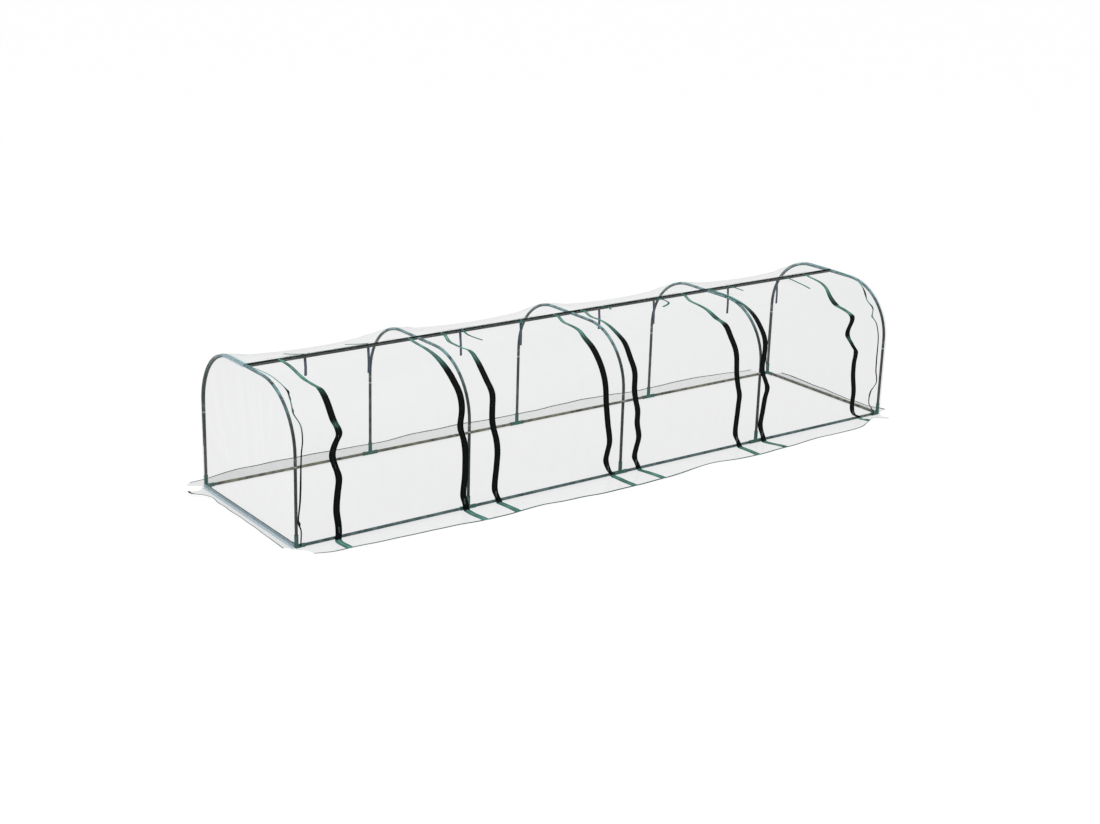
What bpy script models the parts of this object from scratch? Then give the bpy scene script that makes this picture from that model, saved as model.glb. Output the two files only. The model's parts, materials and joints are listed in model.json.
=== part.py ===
"""Tunnel greenhouse: a steel tube frame of five hoops under a clear film cover with four zipped doors.

X runs along the tunnel, the doors face -Y and Z is up. The origin is on the ground at the middle.
All sizes are in metres.
"""

import math

import bmesh
import bpy
from mathutils import Matrix, Vector

# Frame, over the connectors.
LENGTH = 4.0
WIDTH = 1.0
HEIGHT = 0.8
BAYS = 4
TUBE = 0.016
TUBE_WALL = 0.0006
BEND_RADIUS = 0.32
TUBE_SIDES = 12
BEND_STEPS = 6
SPIGOT_SIDES = 8

# How the tubes join.
CLEARANCE = 0.0003
LEG_TOP = 0.42
SPIGOT_LENGTH = 0.042
SWAGE_TAPER = 0.003
RIDGE_SPIGOT_LENGTH = 0.04
CONNECTOR = 0.022
CONNECTOR_FLAT = 0.001
RAIL_SOCKET = 0.045
LEG_SOCKET = 0.06
SOCKET_FLOOR = 0.012
SOCKET_WALL = 0.0021
HUB_BEVEL = 0.003

# Cover.
FILM = 0.0005
TAPE = 0.0015
TAPE_HALF = 0.016
TAPE_EDGE = 0.0006
FRONT_SAG = 0.035
BACK_SAG = 0.05
SKIRT = 0.15
END_SKIRT = 0.1
TOE_RADIUS = 0.012
HEM_WAVE = 0.46
HEM_DRAW = 0.018
HEM_LIFT = 0.012
CORNER_INSET = 0.05
END_DISH = 0.012
FLAT_STEPS = 2
WALL_STEPS = 3
TOE_STEPS = 2
SKIRT_STEPS = 2
BACK_COLUMNS = 4
END_COLUMNS = 6

# Doors and zips.
DOOR_PITCH = 0.93
DOOR_WIDTH = 0.735
DOOR_COLUMNS = 5
ZIP_LEAN = 0.03
ZIP_TAIL = 0.035
ZIP_WANDER = 0.006
SLIDER_REST = 0.06
SLIDER_TRAVEL = 0.4
SLIDER_WIDTH = 0.011
SLIDER_NOSE = 0.006
SLIDER_CROWN = 0.009
SLIDER_LENGTH = 0.016
SLIDER_SHOULDER = 0.003
SLIDER_DEPTH = 0.0032
BRIDGE_WIDTH = 0.0035
BRIDGE_RISE = 0.0028
PULL_WIDTH = 0.007
PULL_NECK = 0.005
PULL_LENGTH = 0.024
PULL_DEPTH = 0.0014

# What follows from the sizes above.
RADIUS = TUBE / 2
BORE = RADIUS - TUBE_WALL
SPIGOT = BORE - CLEARANCE
SPIGOT_BORE = SPIGOT - TUBE_WALL
CONNECTOR_RADIUS = CONNECTOR / 2
SOCKET_BORE = RADIUS + CLEARANCE
ARM_RADIUS = SOCKET_BORE + SOCKET_WALL
ARM_START = SOCKET_FLOOR / 3
SEAT = SOCKET_FLOOR + CLEARANCE
HALF_WIDTH = WIDTH / 2 - CONNECTOR_RADIUS
END_HOOP = LENGTH / 2 - CONNECTOR_RADIUS
RAIL_Z = CONNECTOR_RADIUS - CONNECTOR_FLAT
RIDGE_Z = HEIGHT - RADIUS
BEND_REACH = HALF_WIDTH - BEND_RADIUS
BEND_Z = RIDGE_Z - BEND_RADIUS
BAY = 2 * END_HOOP / BAYS
HOOPS = [BAY * (i - BAYS / 2) for i in range(BAYS + 1)]
DOORS = [DOOR_PITCH * (i - (BAYS - 1) / 2) for i in range(BAYS)]
TOP_OFFSET = RADIUS + CLEARANCE
WALL_OFFSET = CONNECTOR_RADIUS + CLEARANCE
WALL_REACH = HALF_WIDTH + WALL_OFFSET
END_FACE = END_HOOP + WALL_OFFSET
HINGE_Z = HEIGHT + CLEARANCE + TAPE
SLIDER_FACE = WALL_REACH + TAPE + CLEARANCE
ZIP_SLANT = math.atan2(ZIP_LEAN, SLIDER_TRAVEL)

FRONT = -1
BACK = 1


def clear_scene():
    for item in list(bpy.data.objects):
        bpy.data.objects.remove(item)


def new_collection(name, hidden=False):
    collection = bpy.data.collections.new(name)
    bpy.context.scene.collection.children.link(collection)
    collection.hide_render = hidden
    return collection


def new_material(name, colour, roughness, metallic=0.0, alpha=1.0):
    material = bpy.data.materials.new(name)
    material.use_nodes = True
    shader = material.node_tree.nodes["Principled BSDF"]
    shader.inputs["Base Color"].default_value = (*colour, 1.0)
    shader.inputs["Roughness"].default_value = roughness
    shader.inputs["Metallic"].default_value = metallic
    shader.inputs["Alpha"].default_value = alpha
    material.diffuse_color = (*colour, alpha)
    return material


def add_object(name, mesh, collection, materials=()):
    item = bpy.data.objects.new(name, mesh)
    collection.objects.link(item)
    if not mesh.materials:
        for material in materials:
            mesh.materials.append(material)
    return item


def shade(mesh, angle=40.0):
    mesh.shade_smooth()
    mesh.set_sharp_from_angle(angle=math.radians(angle))


def evaluated_mesh(item):
    """The object's mesh with its modifiers applied, in its own coordinates."""
    bpy.context.view_layer.update()
    graph = bpy.context.evaluated_depsgraph_get()
    return bpy.data.meshes.new_from_object(item.evaluated_get(graph))


def set_origin(item, point):
    """Moves the origin to a point and leaves the shape where it is."""
    item.data.transform(Matrix.Translation(-Vector(point)))
    item.location = point


def boolean(item, cutter, operation):
    modifier = item.modifiers.new(cutter.name, "BOOLEAN")
    modifier.operation = operation
    modifier.object = cutter
    modifier.solver = "EXACT"


def helper(item):
    """Marks a cutter or a guide."""
    item.hide_render = True
    item.display_type = "WIRE"
    return item


def rod(name, start, end, radius, sides=TUBE_SIDES):
    """A solid round bar from start to end, for joining or cutting."""
    start, end = Vector(start), Vector(end)
    along = end - start
    turn = along.to_track_quat("Z", "Y").to_matrix().to_4x4()
    shape = bmesh.new()
    bmesh.ops.create_cone(
        shape,
        cap_ends=True,
        segments=sides,
        radius1=radius,
        radius2=radius,
        depth=along.length,
        matrix=Matrix.Translation((start + end) / 2) @ turn,
    )
    mesh = bpy.data.meshes.new(name)
    shape.to_mesh(mesh)
    shape.free()
    return helper(add_object(name, mesh, CUTTERS))


def block(name, low, high):
    """A solid box between two corners, for joining or cutting."""
    low, high = Vector(low), Vector(high)
    shape = bmesh.new()
    bmesh.ops.create_cube(shape, size=1.0)
    bmesh.ops.scale(shape, vec=high - low, verts=shape.verts)
    bmesh.ops.translate(shape, vec=(low + high) / 2, verts=shape.verts)
    mesh = bpy.data.meshes.new(name)
    shape.to_mesh(mesh)
    shape.free()
    return helper(add_object(name, mesh, CUTTERS))


def pipe_mesh(name, points):
    """A hollow tube along a line of points: a bevelled curve, open at both ends, with a wall of its own."""
    curve = bpy.data.curves.new(name, "CURVE")
    curve.dimensions = "3D"
    curve.bevel_depth = RADIUS
    curve.bevel_resolution = (TUBE_SIDES - 4) // 2
    spline = curve.splines.new("POLY")
    spline.points.add(len(points) - 1)
    for place, point in zip(spline.points, points):
        place.co = (*point, 1.0)
    guide = add_object(name + "_line", curve, CUTTERS)
    mesh = evaluated_mesh(guide)
    bpy.data.objects.remove(guide)
    shape = bmesh.new()
    shape.from_mesh(mesh)
    bmesh.ops.remove_doubles(shape, verts=shape.verts, dist=1e-6)
    bmesh.ops.recalc_face_normals(shape, faces=shape.faces)
    shape.to_mesh(mesh)
    shape.free()
    mesh.materials.clear()
    return mesh


def add_pipe(name, points, material):
    item = add_object(name, pipe_mesh(name, points), PARTS, [material])
    wall = item.modifiers.new("wall", "SOLIDIFY")
    wall.thickness = TUBE_WALL
    wall.offset = -1
    wall.use_even_offset = True
    shade(item.data)
    return item


def add_turned(name, profile, material):
    """A closed profile of (radius, height) points turned about Z."""
    mesh = bpy.data.meshes.new(name)
    edges = [(i, (i + 1) % len(profile)) for i in range(len(profile))]
    mesh.from_pydata([(radius, 0.0, height) for radius, height in profile], edges, [])
    item = add_object(name, mesh, PARTS, [material])
    turn = item.modifiers.new("turn", "SCREW")
    turn.steps = turn.render_steps = TUBE_SIDES
    turn.use_merge_vertices = True
    turn.merge_threshold = 0.00001
    turn.use_smooth_shade = False
    return item


def add_legs(material):
    """Ten uprights, each with a swaged top that goes up into the hoop."""
    shoulder = LEG_TOP - CLEARANCE
    foot = RAIL_Z + SEAT
    tip = LEG_TOP + SPIGOT_LENGTH
    profile = [
        (SPIGOT_BORE, tip),
        (SPIGOT, tip),
        (SPIGOT, shoulder),
        (RADIUS, shoulder - SWAGE_TAPER),
        (RADIUS, foot),
        (BORE, foot),
        (BORE, shoulder - SWAGE_TAPER),
        (SPIGOT_BORE, shoulder),
    ]
    for word, side in (("front", FRONT), ("back", BACK)):
        for number, x in enumerate(HOOPS, 1):
            leg = add_turned(f"{word}_leg_{number}", profile, material)
            leg.location = (x, side * HALF_WIDTH, 0.0)


def hoop_line(x):
    """The tube's centre line from one leg over the top to the other."""
    corner = [
        (BEND_REACH + BEND_RADIUS * math.sin(angle), BEND_Z + BEND_RADIUS * math.cos(angle))
        for angle in (math.pi / 2 * step / BEND_STEPS for step in range(BEND_STEPS + 1))
    ]
    half = corner + [(HALF_WIDTH, LEG_TOP)]
    front = [(x, -reach, height) for reach, height in reversed(half)]
    back = [(x, reach, height) for reach, height in half]
    return front + back


def add_hoops(material):
    """Five bent tops, each with a welded spigot for every ridge tube that meets it."""
    for number, x in enumerate(HOOPS, 1):
        item = add_pipe(f"hoop_top_{number}", hoop_line(x), material)
        reach = RADIUS + RIDGE_SPIGOT_LENGTH
        left = (x if number == 1 else x - reach, 0, RIDGE_Z)
        right = (x if number == len(HOOPS) else x + reach, 0, RIDGE_Z)
        spigot = rod(f"ridge_spigot_{number}", left, right, SPIGOT, SPIGOT_SIDES)
        boolean(item, spigot, "UNION")


def add_rails(material):
    """Ground rails and ridge tubes between the hoops, and a ground rail across each end."""
    for number, (left, right) in enumerate(zip(HOOPS, HOOPS[1:]), 1):
        start, end = left + SEAT, right - SEAT
        for word, side in (("front", FRONT), ("back", BACK)):
            y = side * HALF_WIDTH
            line = [(start, y, RAIL_Z), (end, y, RAIL_Z)]
            add_pipe(f"{word}_rail_{number}", line, material)
        butt = RADIUS + CLEARANCE
        line = [(left + butt, 0, RIDGE_Z), (right - butt, 0, RIDGE_Z)]
        add_pipe(f"ridge_tube_{number}", line, material)
    for word, x in (("left", HOOPS[0]), ("right", HOOPS[-1])):
        y = HALF_WIDTH - SEAT
        add_pipe(f"end_rail_{word}", [(x, -y, RAIL_Z), (x, y, RAIL_Z)], material)


def connector_mesh(name, arms):
    """A moulded connector: a hub with a socket for each arm, given as (direction, length), cut flat below."""
    centre = Vector((0, 0, RAIL_Z))
    corner = Vector((CONNECTOR_RADIUS,) * 3)
    body = block(f"{name}_hub", centre - corner, centre + corner)
    edges = body.modifiers.new("edges", "BEVEL")
    edges.width = HUB_BEVEL
    edges.segments = 1
    for number, (direction, length) in enumerate(arms):
        along = Vector(direction)
        start, mouth = centre + along * ARM_START, centre + along * length
        boolean(body, rod(f"{name}_arm_{number}", start, mouth, ARM_RADIUS), "UNION")
    for number, (direction, length) in enumerate(arms):
        along = Vector(direction)
        floor, past = centre + along * SOCKET_FLOOR, centre + along * 2 * length
        boolean(body, rod(f"{name}_bore_{number}", floor, past, SOCKET_BORE), "DIFFERENCE")
    under = block(f"{name}_ground", (-LENGTH, -LENGTH, -WIDTH), (LENGTH, LENGTH, 0))
    boolean(body, under, "DIFFERENCE")
    mesh = evaluated_mesh(body)
    mesh.name = name
    mesh.materials.clear()
    shade(mesh)
    return mesh


def add_connectors(material):
    along, across, up = (1, 0, 0), (0, 1, 0), (0, 0, 1)
    against = (-1, 0, 0)
    corner = connector_mesh(
        "corner", [(up, LEG_SOCKET), (along, RAIL_SOCKET), (across, RAIL_SOCKET)]
    )
    tee = connector_mesh("tee", [(up, LEG_SOCKET), (along, RAIL_SOCKET), (against, RAIL_SOCKET)])
    quarter_turns = (("left", "front", 0), ("right", "front", 1), ("right", "back", 2), ("left", "back", 3))
    for end, word, turns in quarter_turns:
        item = add_object(f"corner_{word}_{end}", corner, PARTS, [material])
        x = HOOPS[0] if end == "left" else HOOPS[-1]
        y = -HALF_WIDTH if word == "front" else HALF_WIDTH
        item.location = (x, y, 0)
        item.rotation_euler = (0, 0, turns * math.pi / 2)
    for word, side in (("front", FRONT), ("back", BACK)):
        for number, x in list(enumerate(HOOPS, 1))[1:-1]:
            item = add_object(f"base_tee_{word}_{number}", tee, PARTS, [material])
            item.location = (x, side * HALF_WIDTH, 0)


def cover_section():
    """The film's inner face over a hoop, from the ridge to the hem.

    Each place is (reach, height, outward, upward, hem share): where it lies, the way it faces,
    and how far along the skirt it is.
    """
    places = []
    for step in range(FLAT_STEPS):
        places.append((BEND_REACH * step / FLAT_STEPS, RIDGE_Z + TOP_OFFSET, 0.0, 1.0, 0.0))
    for step in range(BEND_STEPS + 1):
        share = step / BEND_STEPS
        angle = math.pi / 2 * share
        reach = BEND_RADIUS + TOP_OFFSET + (WALL_OFFSET - TOP_OFFSET) * share
        outward, upward = math.sin(angle), math.cos(angle)
        places.append((BEND_REACH + reach * outward, BEND_Z + reach * upward, outward, upward, 0.0))
    for step in range(1, WALL_STEPS + 1):
        height = BEND_Z + (TOE_RADIUS - BEND_Z) * step / WALL_STEPS
        places.append((WALL_REACH, height, 1.0, 0.0, 0.0))
    for step in range(1, TOE_STEPS + 1):
        angle = math.pi / 2 * step / TOE_STEPS
        outward, upward = math.cos(angle), math.sin(angle)
        reach = WALL_REACH + TOE_RADIUS * (1 - outward)
        places.append((reach, TOE_RADIUS * (1 - upward), outward, upward, 0.0))
    for step in range(1, SKIRT_STEPS + 1):
        share = step / SKIRT_STEPS
        reach = WALL_REACH + TOE_RADIUS + (SKIRT - TOE_RADIUS) * share
        places.append((reach, 0.0, 0.0, 1.0, share))
    return places


def bay_share(x):
    """How far x lies between two hoops, from 0 to 1."""
    place = (min(max(x, HOOPS[0]), HOOPS[-1]) - HOOPS[0]) / BAY
    return place - min(math.floor(place), BAYS - 1)


def sag(x, share, side):
    """How far the film hangs in between the hoops, share being the way from the ridge to the ground."""
    between = math.sin(math.pi * bay_share(x))
    flat_and_bend = (BEND_REACH + BEND_RADIUS * math.pi / 2) / RUN_LENGTH
    if side == FRONT:
        hang = math.sin(math.pi * min(share / flat_and_bend, 1.0)) ** 2
        return FRONT_SAG * between * hang
    return BACK_SAG * between * math.sin(math.pi * share**0.7) ** 2


def run_share(reach, height):
    """The share of the way from the ridge down to the ground, along the film."""
    if height > BEND_Z and reach > BEND_REACH:
        angle = math.atan2(reach - BEND_REACH, height - BEND_Z)
        return (BEND_REACH + BEND_RADIUS * angle) / RUN_LENGTH
    if height > BEND_Z:
        return max(reach, 0.0) / RUN_LENGTH
    return 1 - max(height - TOE_RADIUS, 0.0) / RUN_LENGTH


def hem(along):
    """How far the hem is drawn in and lifted at a place along it."""
    wave = (1 - math.cos(2 * math.pi * along / HEM_WAVE)) / 2
    return HEM_DRAW * wave, HEM_LIFT * wave


def film_point(x, place, side):
    """A point of the cover's inner face on the roof, the long walls and their skirts."""
    reach, height, outward, upward, skirt_share = place
    inward = 0.0
    if skirt_share == 0.0:
        inward = sag(x, run_share(reach, height), side)
    drawn, lifted = hem(x)
    reach += -outward * inward - drawn * skirt_share
    height += -upward * inward + lifted * skirt_share
    return Vector((x, side * reach, height))


def zip_lean(height):
    """How far the zips lean to the left at a height: straight where their sliders run, then no further."""
    rise = min(max((height - SLIDER_REST) / SLIDER_TRAVEL, 0.0), 1.0)
    return -ZIP_LEAN * rise


def zip_wander(number, height):
    """How far a zip strays from its lean: nothing where its slider rests or stops."""
    waves = (height - SLIDER_REST) / SLIDER_TRAVEL
    if height > SLIDER_REST + SLIDER_TRAVEL:
        waves = 1 + (height - SLIDER_REST - SLIDER_TRAVEL) / (HEIGHT - SLIDER_REST - SLIDER_TRAVEL)
    sign = 1 if number % 2 else -1
    return ZIP_WANDER * sign * math.sin(2 * math.pi * max(waves, 0.0))


def zip_places():
    """The eight zips, as (number, x), left to right."""
    sides = [centre + offset for centre in DOORS for offset in (-DOOR_WIDTH / 2, DOOR_WIDTH / 2)]
    return list(enumerate(sides, 1))


def corner_inset(skirt_share):
    """A skirt's end is cut away from the corner, with a rounded tip."""
    return CORNER_INSET * math.sqrt(1 - (1 - skirt_share) ** 2) if skirt_share else 0.0


def skirt_shift(x, skirt_share):
    """How far the front skirt lies to the right: all of it with the zips' tails, but for the cut away corners."""
    last = DOORS[-1] + DOOR_WIDTH / 2 + TAPE_HALF + TAPE_EDGE
    beyond = max((abs(x) - last) / (END_FACE + FILM - last), 0.0)
    return ZIP_TAIL * skirt_share * (1 - beyond) - math.copysign(corner_inset(skirt_share), x) * beyond


def add_sheet(name, section, columns, point, taped, flip, materials):
    """A sheet of film: a grid laid on a surface and given its thickness, thicker where a zip tape is sewn on.

    point(column, place) gives the inner face; taped holds the columns that carry tape.
    """
    shape = bmesh.new()
    across, down = len(columns) - 1, len(section) - 1
    bmesh.ops.create_grid(shape, x_segments=across, y_segments=down, size=0.5)
    spots = {}
    for vertex in shape.verts:
        i = round((vertex.co.x + 0.5) * across)
        j = round((vertex.co.y + 0.5) * down)
        spots[vertex.index] = i
        vertex.co = point(columns[i], section[j])
    if flip:
        bmesh.ops.reverse_faces(shape, faces=shape.faces)
    for face in shape.faces:
        face.material_index = int(all(spots[vertex.index] in taped for vertex in face.verts))
    mesh = bpy.data.meshes.new(name)
    shape.to_mesh(mesh)
    shape.free()
    item = add_object(name, mesh, PARTS, materials if taped else materials[:1])
    thickness = item.modifiers.new("thickness", "SOLIDIFY")
    thickness.offset = 1
    thickness.use_even_offset = True
    thickness.thickness = TAPE if taped else FILM
    if taped:
        group = item.vertex_groups.new(name="tape")
        group.add([index for index, i in spots.items() if i in taped], 1.0, "REPLACE")
        thickness.vertex_group = group.name
        thickness.thickness_vertex_group = FILM / TAPE
    shade(mesh)
    return item


def tape_columns(number, x, towards):
    """Columns of one tape half, from the zip's middle outwards: (kind, zip number, x, offset)."""
    return [
        ("zip", number, x, towards * CLEARANCE),
        ("zip", number, x, towards * TAPE_HALF),
        ("zip", number, x, towards * (TAPE_HALF + TAPE_EDGE)),
    ]


def front_point(column, place):
    kind, number, x, offset = column
    reach, height, outward, upward, share = place
    x += offset
    if share:
        x += skirt_shift(x, share)
    elif kind == "zip":
        x += zip_lean(height) + zip_wander(number, height)
    elif kind == "door":
        x += zip_lean(height)
    if reach == 0.0:
        place = (CLEARANCE, height, outward, upward, share)
    return film_point(x, place, FRONT)


def add_doors(materials):
    """Four doors, each one sheet from the ridge seam down to the hem, with its half of both zips."""
    section = cover_section()
    zips = dict(zip_places())
    for number, centre in enumerate(DOORS, 1):
        left, right = 2 * number - 1, 2 * number
        columns = tape_columns(left, zips[left], 1)
        inner = DOOR_WIDTH - 2 * (TAPE_HALF + TAPE_EDGE)
        for step in range(1, DOOR_COLUMNS):
            x = centre - inner / 2 + inner * step / DOOR_COLUMNS
            columns.append(("door", 0, x, 0.0))
        columns += reversed(tape_columns(right, zips[right], -1))
        last = len(columns) - 1
        taped = {0, 1, last - 1, last}
        door = add_sheet(f"door_{number}", section, columns, front_point, taped, True, materials)
        set_origin(door, (centre, 0.0, HINGE_Z))


def add_front_strips(materials):
    """Five fixed strips over the hoops, between the doors.

    Plain film has a column at its hoop and one midway, where these stay clear of the tapes as the zips lean.
    """
    section = cover_section()
    zips = dict(zip_places())
    skin = END_FACE + FILM
    clear = TAPE_HALF + TAPE_EDGE + ZIP_WANDER
    for number, hoop in enumerate(HOOPS, 1):
        left, right = 2 * number - 2, 2 * number - 1
        first, last = number == 1, number == len(HOOPS)
        low = -skin if first else zips[left] + clear
        high = skin if last else zips[right] - clear - ZIP_LEAN
        middle = ((hoop if first else zips[left]) + (hoop if last else zips[right])) / 2
        places = sorted({x for x in (hoop, middle) if low < x < high})
        columns = [("end", 0, low, 0.0)] if first else tape_columns(left, zips[left], 1)
        columns += [("film", 0, x, 0.0) for x in places]
        columns += [("end", 0, high, 0.0)] if last else reversed(tape_columns(right, zips[right], -1))
        end = len(columns) - 1
        taped = (set() if first else {0, 1}) | (set() if last else {end - 1, end})
        add_sheet(f"front_strip_{number}", section, columns, front_point, taped, True, materials)


def back_point(column, place):
    reach, height, outward, upward, share = place
    x = column
    if share:
        limit = HOOPS[-1] if abs(x) < HOOPS[-1] else END_FACE + FILM
        x *= 1 - corner_inset(share) / limit
    if reach == 0.0:
        place = (-CLEARANCE, height, outward, upward, share)
    return film_point(x, place, BACK)


def add_cover_back(materials):
    """The fixed sheet: the back half of the roof, the back wall and its skirt, end to end."""
    columns = [-END_FACE - FILM]
    for hoop in HOOPS[:-1]:
        columns += [hoop + BAY * step / BACK_COLUMNS for step in range(BACK_COLUMNS)]
    columns += [HOOPS[-1], END_FACE + FILM]
    add_sheet("cover_back", cover_section(), columns, back_point, set(), False, materials)


def add_ends(materials):
    """The two end panels with their skirts, tucked inside the ends of the roof film."""
    outline = cover_section()[FLAT_STEPS:]
    columns = [2 * step / END_COLUMNS - 1 for step in range(END_COLUMNS + 1)]
    for word, end in (("left", -1), ("right", 1)):

        def point(across, place, end=end):
            reach, height, outward, upward, share = place
            x = END_FACE
            if height < TOE_RADIUS or share:
                x += reach - WALL_REACH
            half = min(reach, WALL_REACH) - CLEARANCE * outward
            height -= CLEARANCE * upward if height > BEND_Z else 0.0
            if share:
                half -= corner_inset(share)
                x += (END_SKIRT - SKIRT) * share
                drawn, lifted = hem(across * half)
                x -= drawn * share
                height += lifted * share
            else:
                rise = min(max((height - RAIL_Z) / (HEIGHT - RAIL_Z), 0.0), 1.0)
                x -= END_DISH * (1 - across**2) * math.sin(math.pi * rise)
            return Vector((end * x, across * half, height))

        flip = end == 1
        add_sheet(f"end_panel_{word}", outline, columns, point, set(), flip, materials)


def outline_solid(name, points, depth, material):
    """A flat outline in X and Z with a thickness, its back on the Y = 0 plane, facing -Y."""
    curve = bpy.data.curves.new(name, "CURVE")
    curve.dimensions = "2D"
    curve.fill_mode = "BOTH"
    curve.extrude = depth / 2
    spline = curve.splines.new("POLY")
    spline.points.add(len(points) - 1)
    for place, (x, z) in zip(spline.points, points):
        place.co = (x, z, 0.0, 1.0)
    spline.use_cyclic_u = True
    guide = add_object(name + "_outline", curve, CUTTERS)
    mesh = evaluated_mesh(guide)
    bpy.data.objects.remove(guide)
    shape = bmesh.new()
    shape.from_mesh(mesh)
    bmesh.ops.remove_doubles(shape, verts=shape.verts, dist=1e-6)
    bmesh.ops.recalc_face_normals(shape, faces=shape.faces)
    bmesh.ops.rotate(shape, verts=shape.verts, matrix=Matrix.Rotation(math.pi / 2, 3, "X"))
    bmesh.ops.translate(shape, verts=shape.verts, vec=(0, -depth / 2, 0))
    shape.to_mesh(mesh)
    shape.free()
    mesh.materials.clear()
    return helper(add_object(name, mesh, CUTTERS, [material]))


def slider_mesh(material):
    """A zip slider: a shield-shaped body, a raised bridge and the pull that hangs from it."""
    nose, half, crown = SLIDER_NOSE / 2, SLIDER_WIDTH / 2, SLIDER_CROWN / 2
    end = SLIDER_LENGTH / 2
    shield = [
        (-nose, -end),
        (nose, -end),
        (half, SLIDER_SHOULDER),
        (crown, end),
        (-crown, end),
        (-half, SLIDER_SHOULDER),
    ]
    body = outline_solid("slider_body", shield, SLIDER_DEPTH, material)
    low = (-BRIDGE_WIDTH / 2, -SLIDER_DEPTH - BRIDGE_RISE, -SLIDER_SHOULDER)
    high = (BRIDGE_WIDTH / 2, -SLIDER_DEPTH / 2, SLIDER_SHOULDER)
    bridge = block("slider_bridge", low, high)
    neck, wide = PULL_NECK / 2, PULL_WIDTH / 2
    top = SLIDER_SHOULDER / 2
    tip = top - PULL_LENGTH
    pull = [
        (-neck, top),
        (-wide, tip + wide),
        (-neck, tip),
        (neck, tip),
        (wide, tip + wide),
        (neck, top),
    ]
    tab = outline_solid("slider_pull", pull, PULL_DEPTH, material)
    tab.location = (0, -SLIDER_DEPTH - (BRIDGE_RISE - PULL_DEPTH) / 2, 0)
    boolean(body, bridge, "UNION")
    boolean(body, tab, "UNION")
    mesh = evaluated_mesh(body)
    mesh.name = "zip_slider"
    mesh.materials.clear()
    return mesh


def add_sliders(material):
    """A slider on each zip, low on the straight stretch, in line with the zip's lean."""
    mesh = slider_mesh(material)
    for number, x in zip_places():
        item = add_object(f"zip_slider_{number}", mesh, PARTS, [material])
        item.location = (x, -SLIDER_FACE, SLIDER_REST)
        item.rotation_euler = (0, -ZIP_SLANT, 0)


RUN_LENGTH = BEND_REACH + BEND_RADIUS * math.pi / 2 + BEND_Z - TOE_RADIUS

clear_scene()
PARTS = new_collection("tunnel_greenhouse")
CUTTERS = new_collection("cutters", hidden=True)

painted_tube = new_material("powder-coated steel tube", (0.012, 0.05, 0.04), 0.35, metallic=0.3)
moulded = new_material("moulded plastic", (0.03, 0.11, 0.1), 0.5)
clear_film = new_material("clear film", (0.86, 0.88, 0.88), 0.12, alpha=0.35)
zip_tape = new_material("woven zip tape", (0.01, 0.035, 0.03), 0.8)
slider_metal = new_material("painted slider", (0.01, 0.03, 0.025), 0.4, metallic=0.6)

add_hoops(painted_tube)
add_legs(painted_tube)
add_rails(painted_tube)
add_connectors(moulded)
add_cover_back([clear_film, zip_tape])
add_ends([clear_film, zip_tape])
add_front_strips([clear_film, zip_tape])
add_doors([clear_film, zip_tape])
add_sliders(slider_metal)
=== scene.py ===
"""Looks of a tunnel greenhouse: a steel tube frame under a clear film cover with four zipped doors.

X runs along the tunnel, the doors face -Y and Z is up. Lengths are in metres unless a name says otherwise.
A place on the cover is given as (x, run): run is measured along the film, from the ridge down to the hem.
"""

import json
import logging
import math
from dataclasses import dataclass, field
from enum import Enum
from typing import Callable, Optional, Sequence, Union

import bmesh
import bpy
from mathutils import Matrix, Vector, noise


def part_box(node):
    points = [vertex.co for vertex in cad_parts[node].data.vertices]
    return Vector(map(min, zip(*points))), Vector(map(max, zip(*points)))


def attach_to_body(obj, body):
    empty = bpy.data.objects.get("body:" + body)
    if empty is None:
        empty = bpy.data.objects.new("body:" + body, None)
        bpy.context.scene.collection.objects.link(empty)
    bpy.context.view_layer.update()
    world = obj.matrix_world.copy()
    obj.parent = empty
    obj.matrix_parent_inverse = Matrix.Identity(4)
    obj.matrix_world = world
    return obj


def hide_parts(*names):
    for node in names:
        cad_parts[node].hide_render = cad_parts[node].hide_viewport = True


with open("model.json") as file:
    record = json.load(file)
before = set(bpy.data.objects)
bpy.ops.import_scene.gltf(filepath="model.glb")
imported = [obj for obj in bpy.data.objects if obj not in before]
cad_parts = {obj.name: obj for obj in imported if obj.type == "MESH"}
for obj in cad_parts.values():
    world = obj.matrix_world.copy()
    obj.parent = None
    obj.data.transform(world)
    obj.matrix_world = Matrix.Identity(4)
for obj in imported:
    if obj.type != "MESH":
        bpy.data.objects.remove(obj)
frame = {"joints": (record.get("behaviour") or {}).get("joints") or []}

LOG = logging.getLogger("tunnel_greenhouse")
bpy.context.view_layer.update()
MM = 0.001

Material = bpy.types.Material
Object = bpy.types.Object
Mesh = bmesh.types.BMesh
Tree = bpy.types.NodeTree
Socket = bpy.types.NodeSocket
Inputs = dict[Union[str, int], object]
Colour = tuple[float, float, float, float]
Line = Sequence[tuple[float, float]]
Edge = Callable[[float], float]
Spot = Callable[[float, float], Vector]
Shade = Callable[[float, float], float]


class Way(Enum):
    """A way out from the tunnel's middle, along Y or along X."""

    @property
    def word(self) -> str:
        """How the names of pieces call it."""
        return self.name.lower()


class Side(Way):
    """The two long sides of the tunnel."""

    FRONT = -1
    BACK = 1


class End(Way):
    """The two ends of the tunnel."""

    LEFT = -1
    RIGHT = 1


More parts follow.
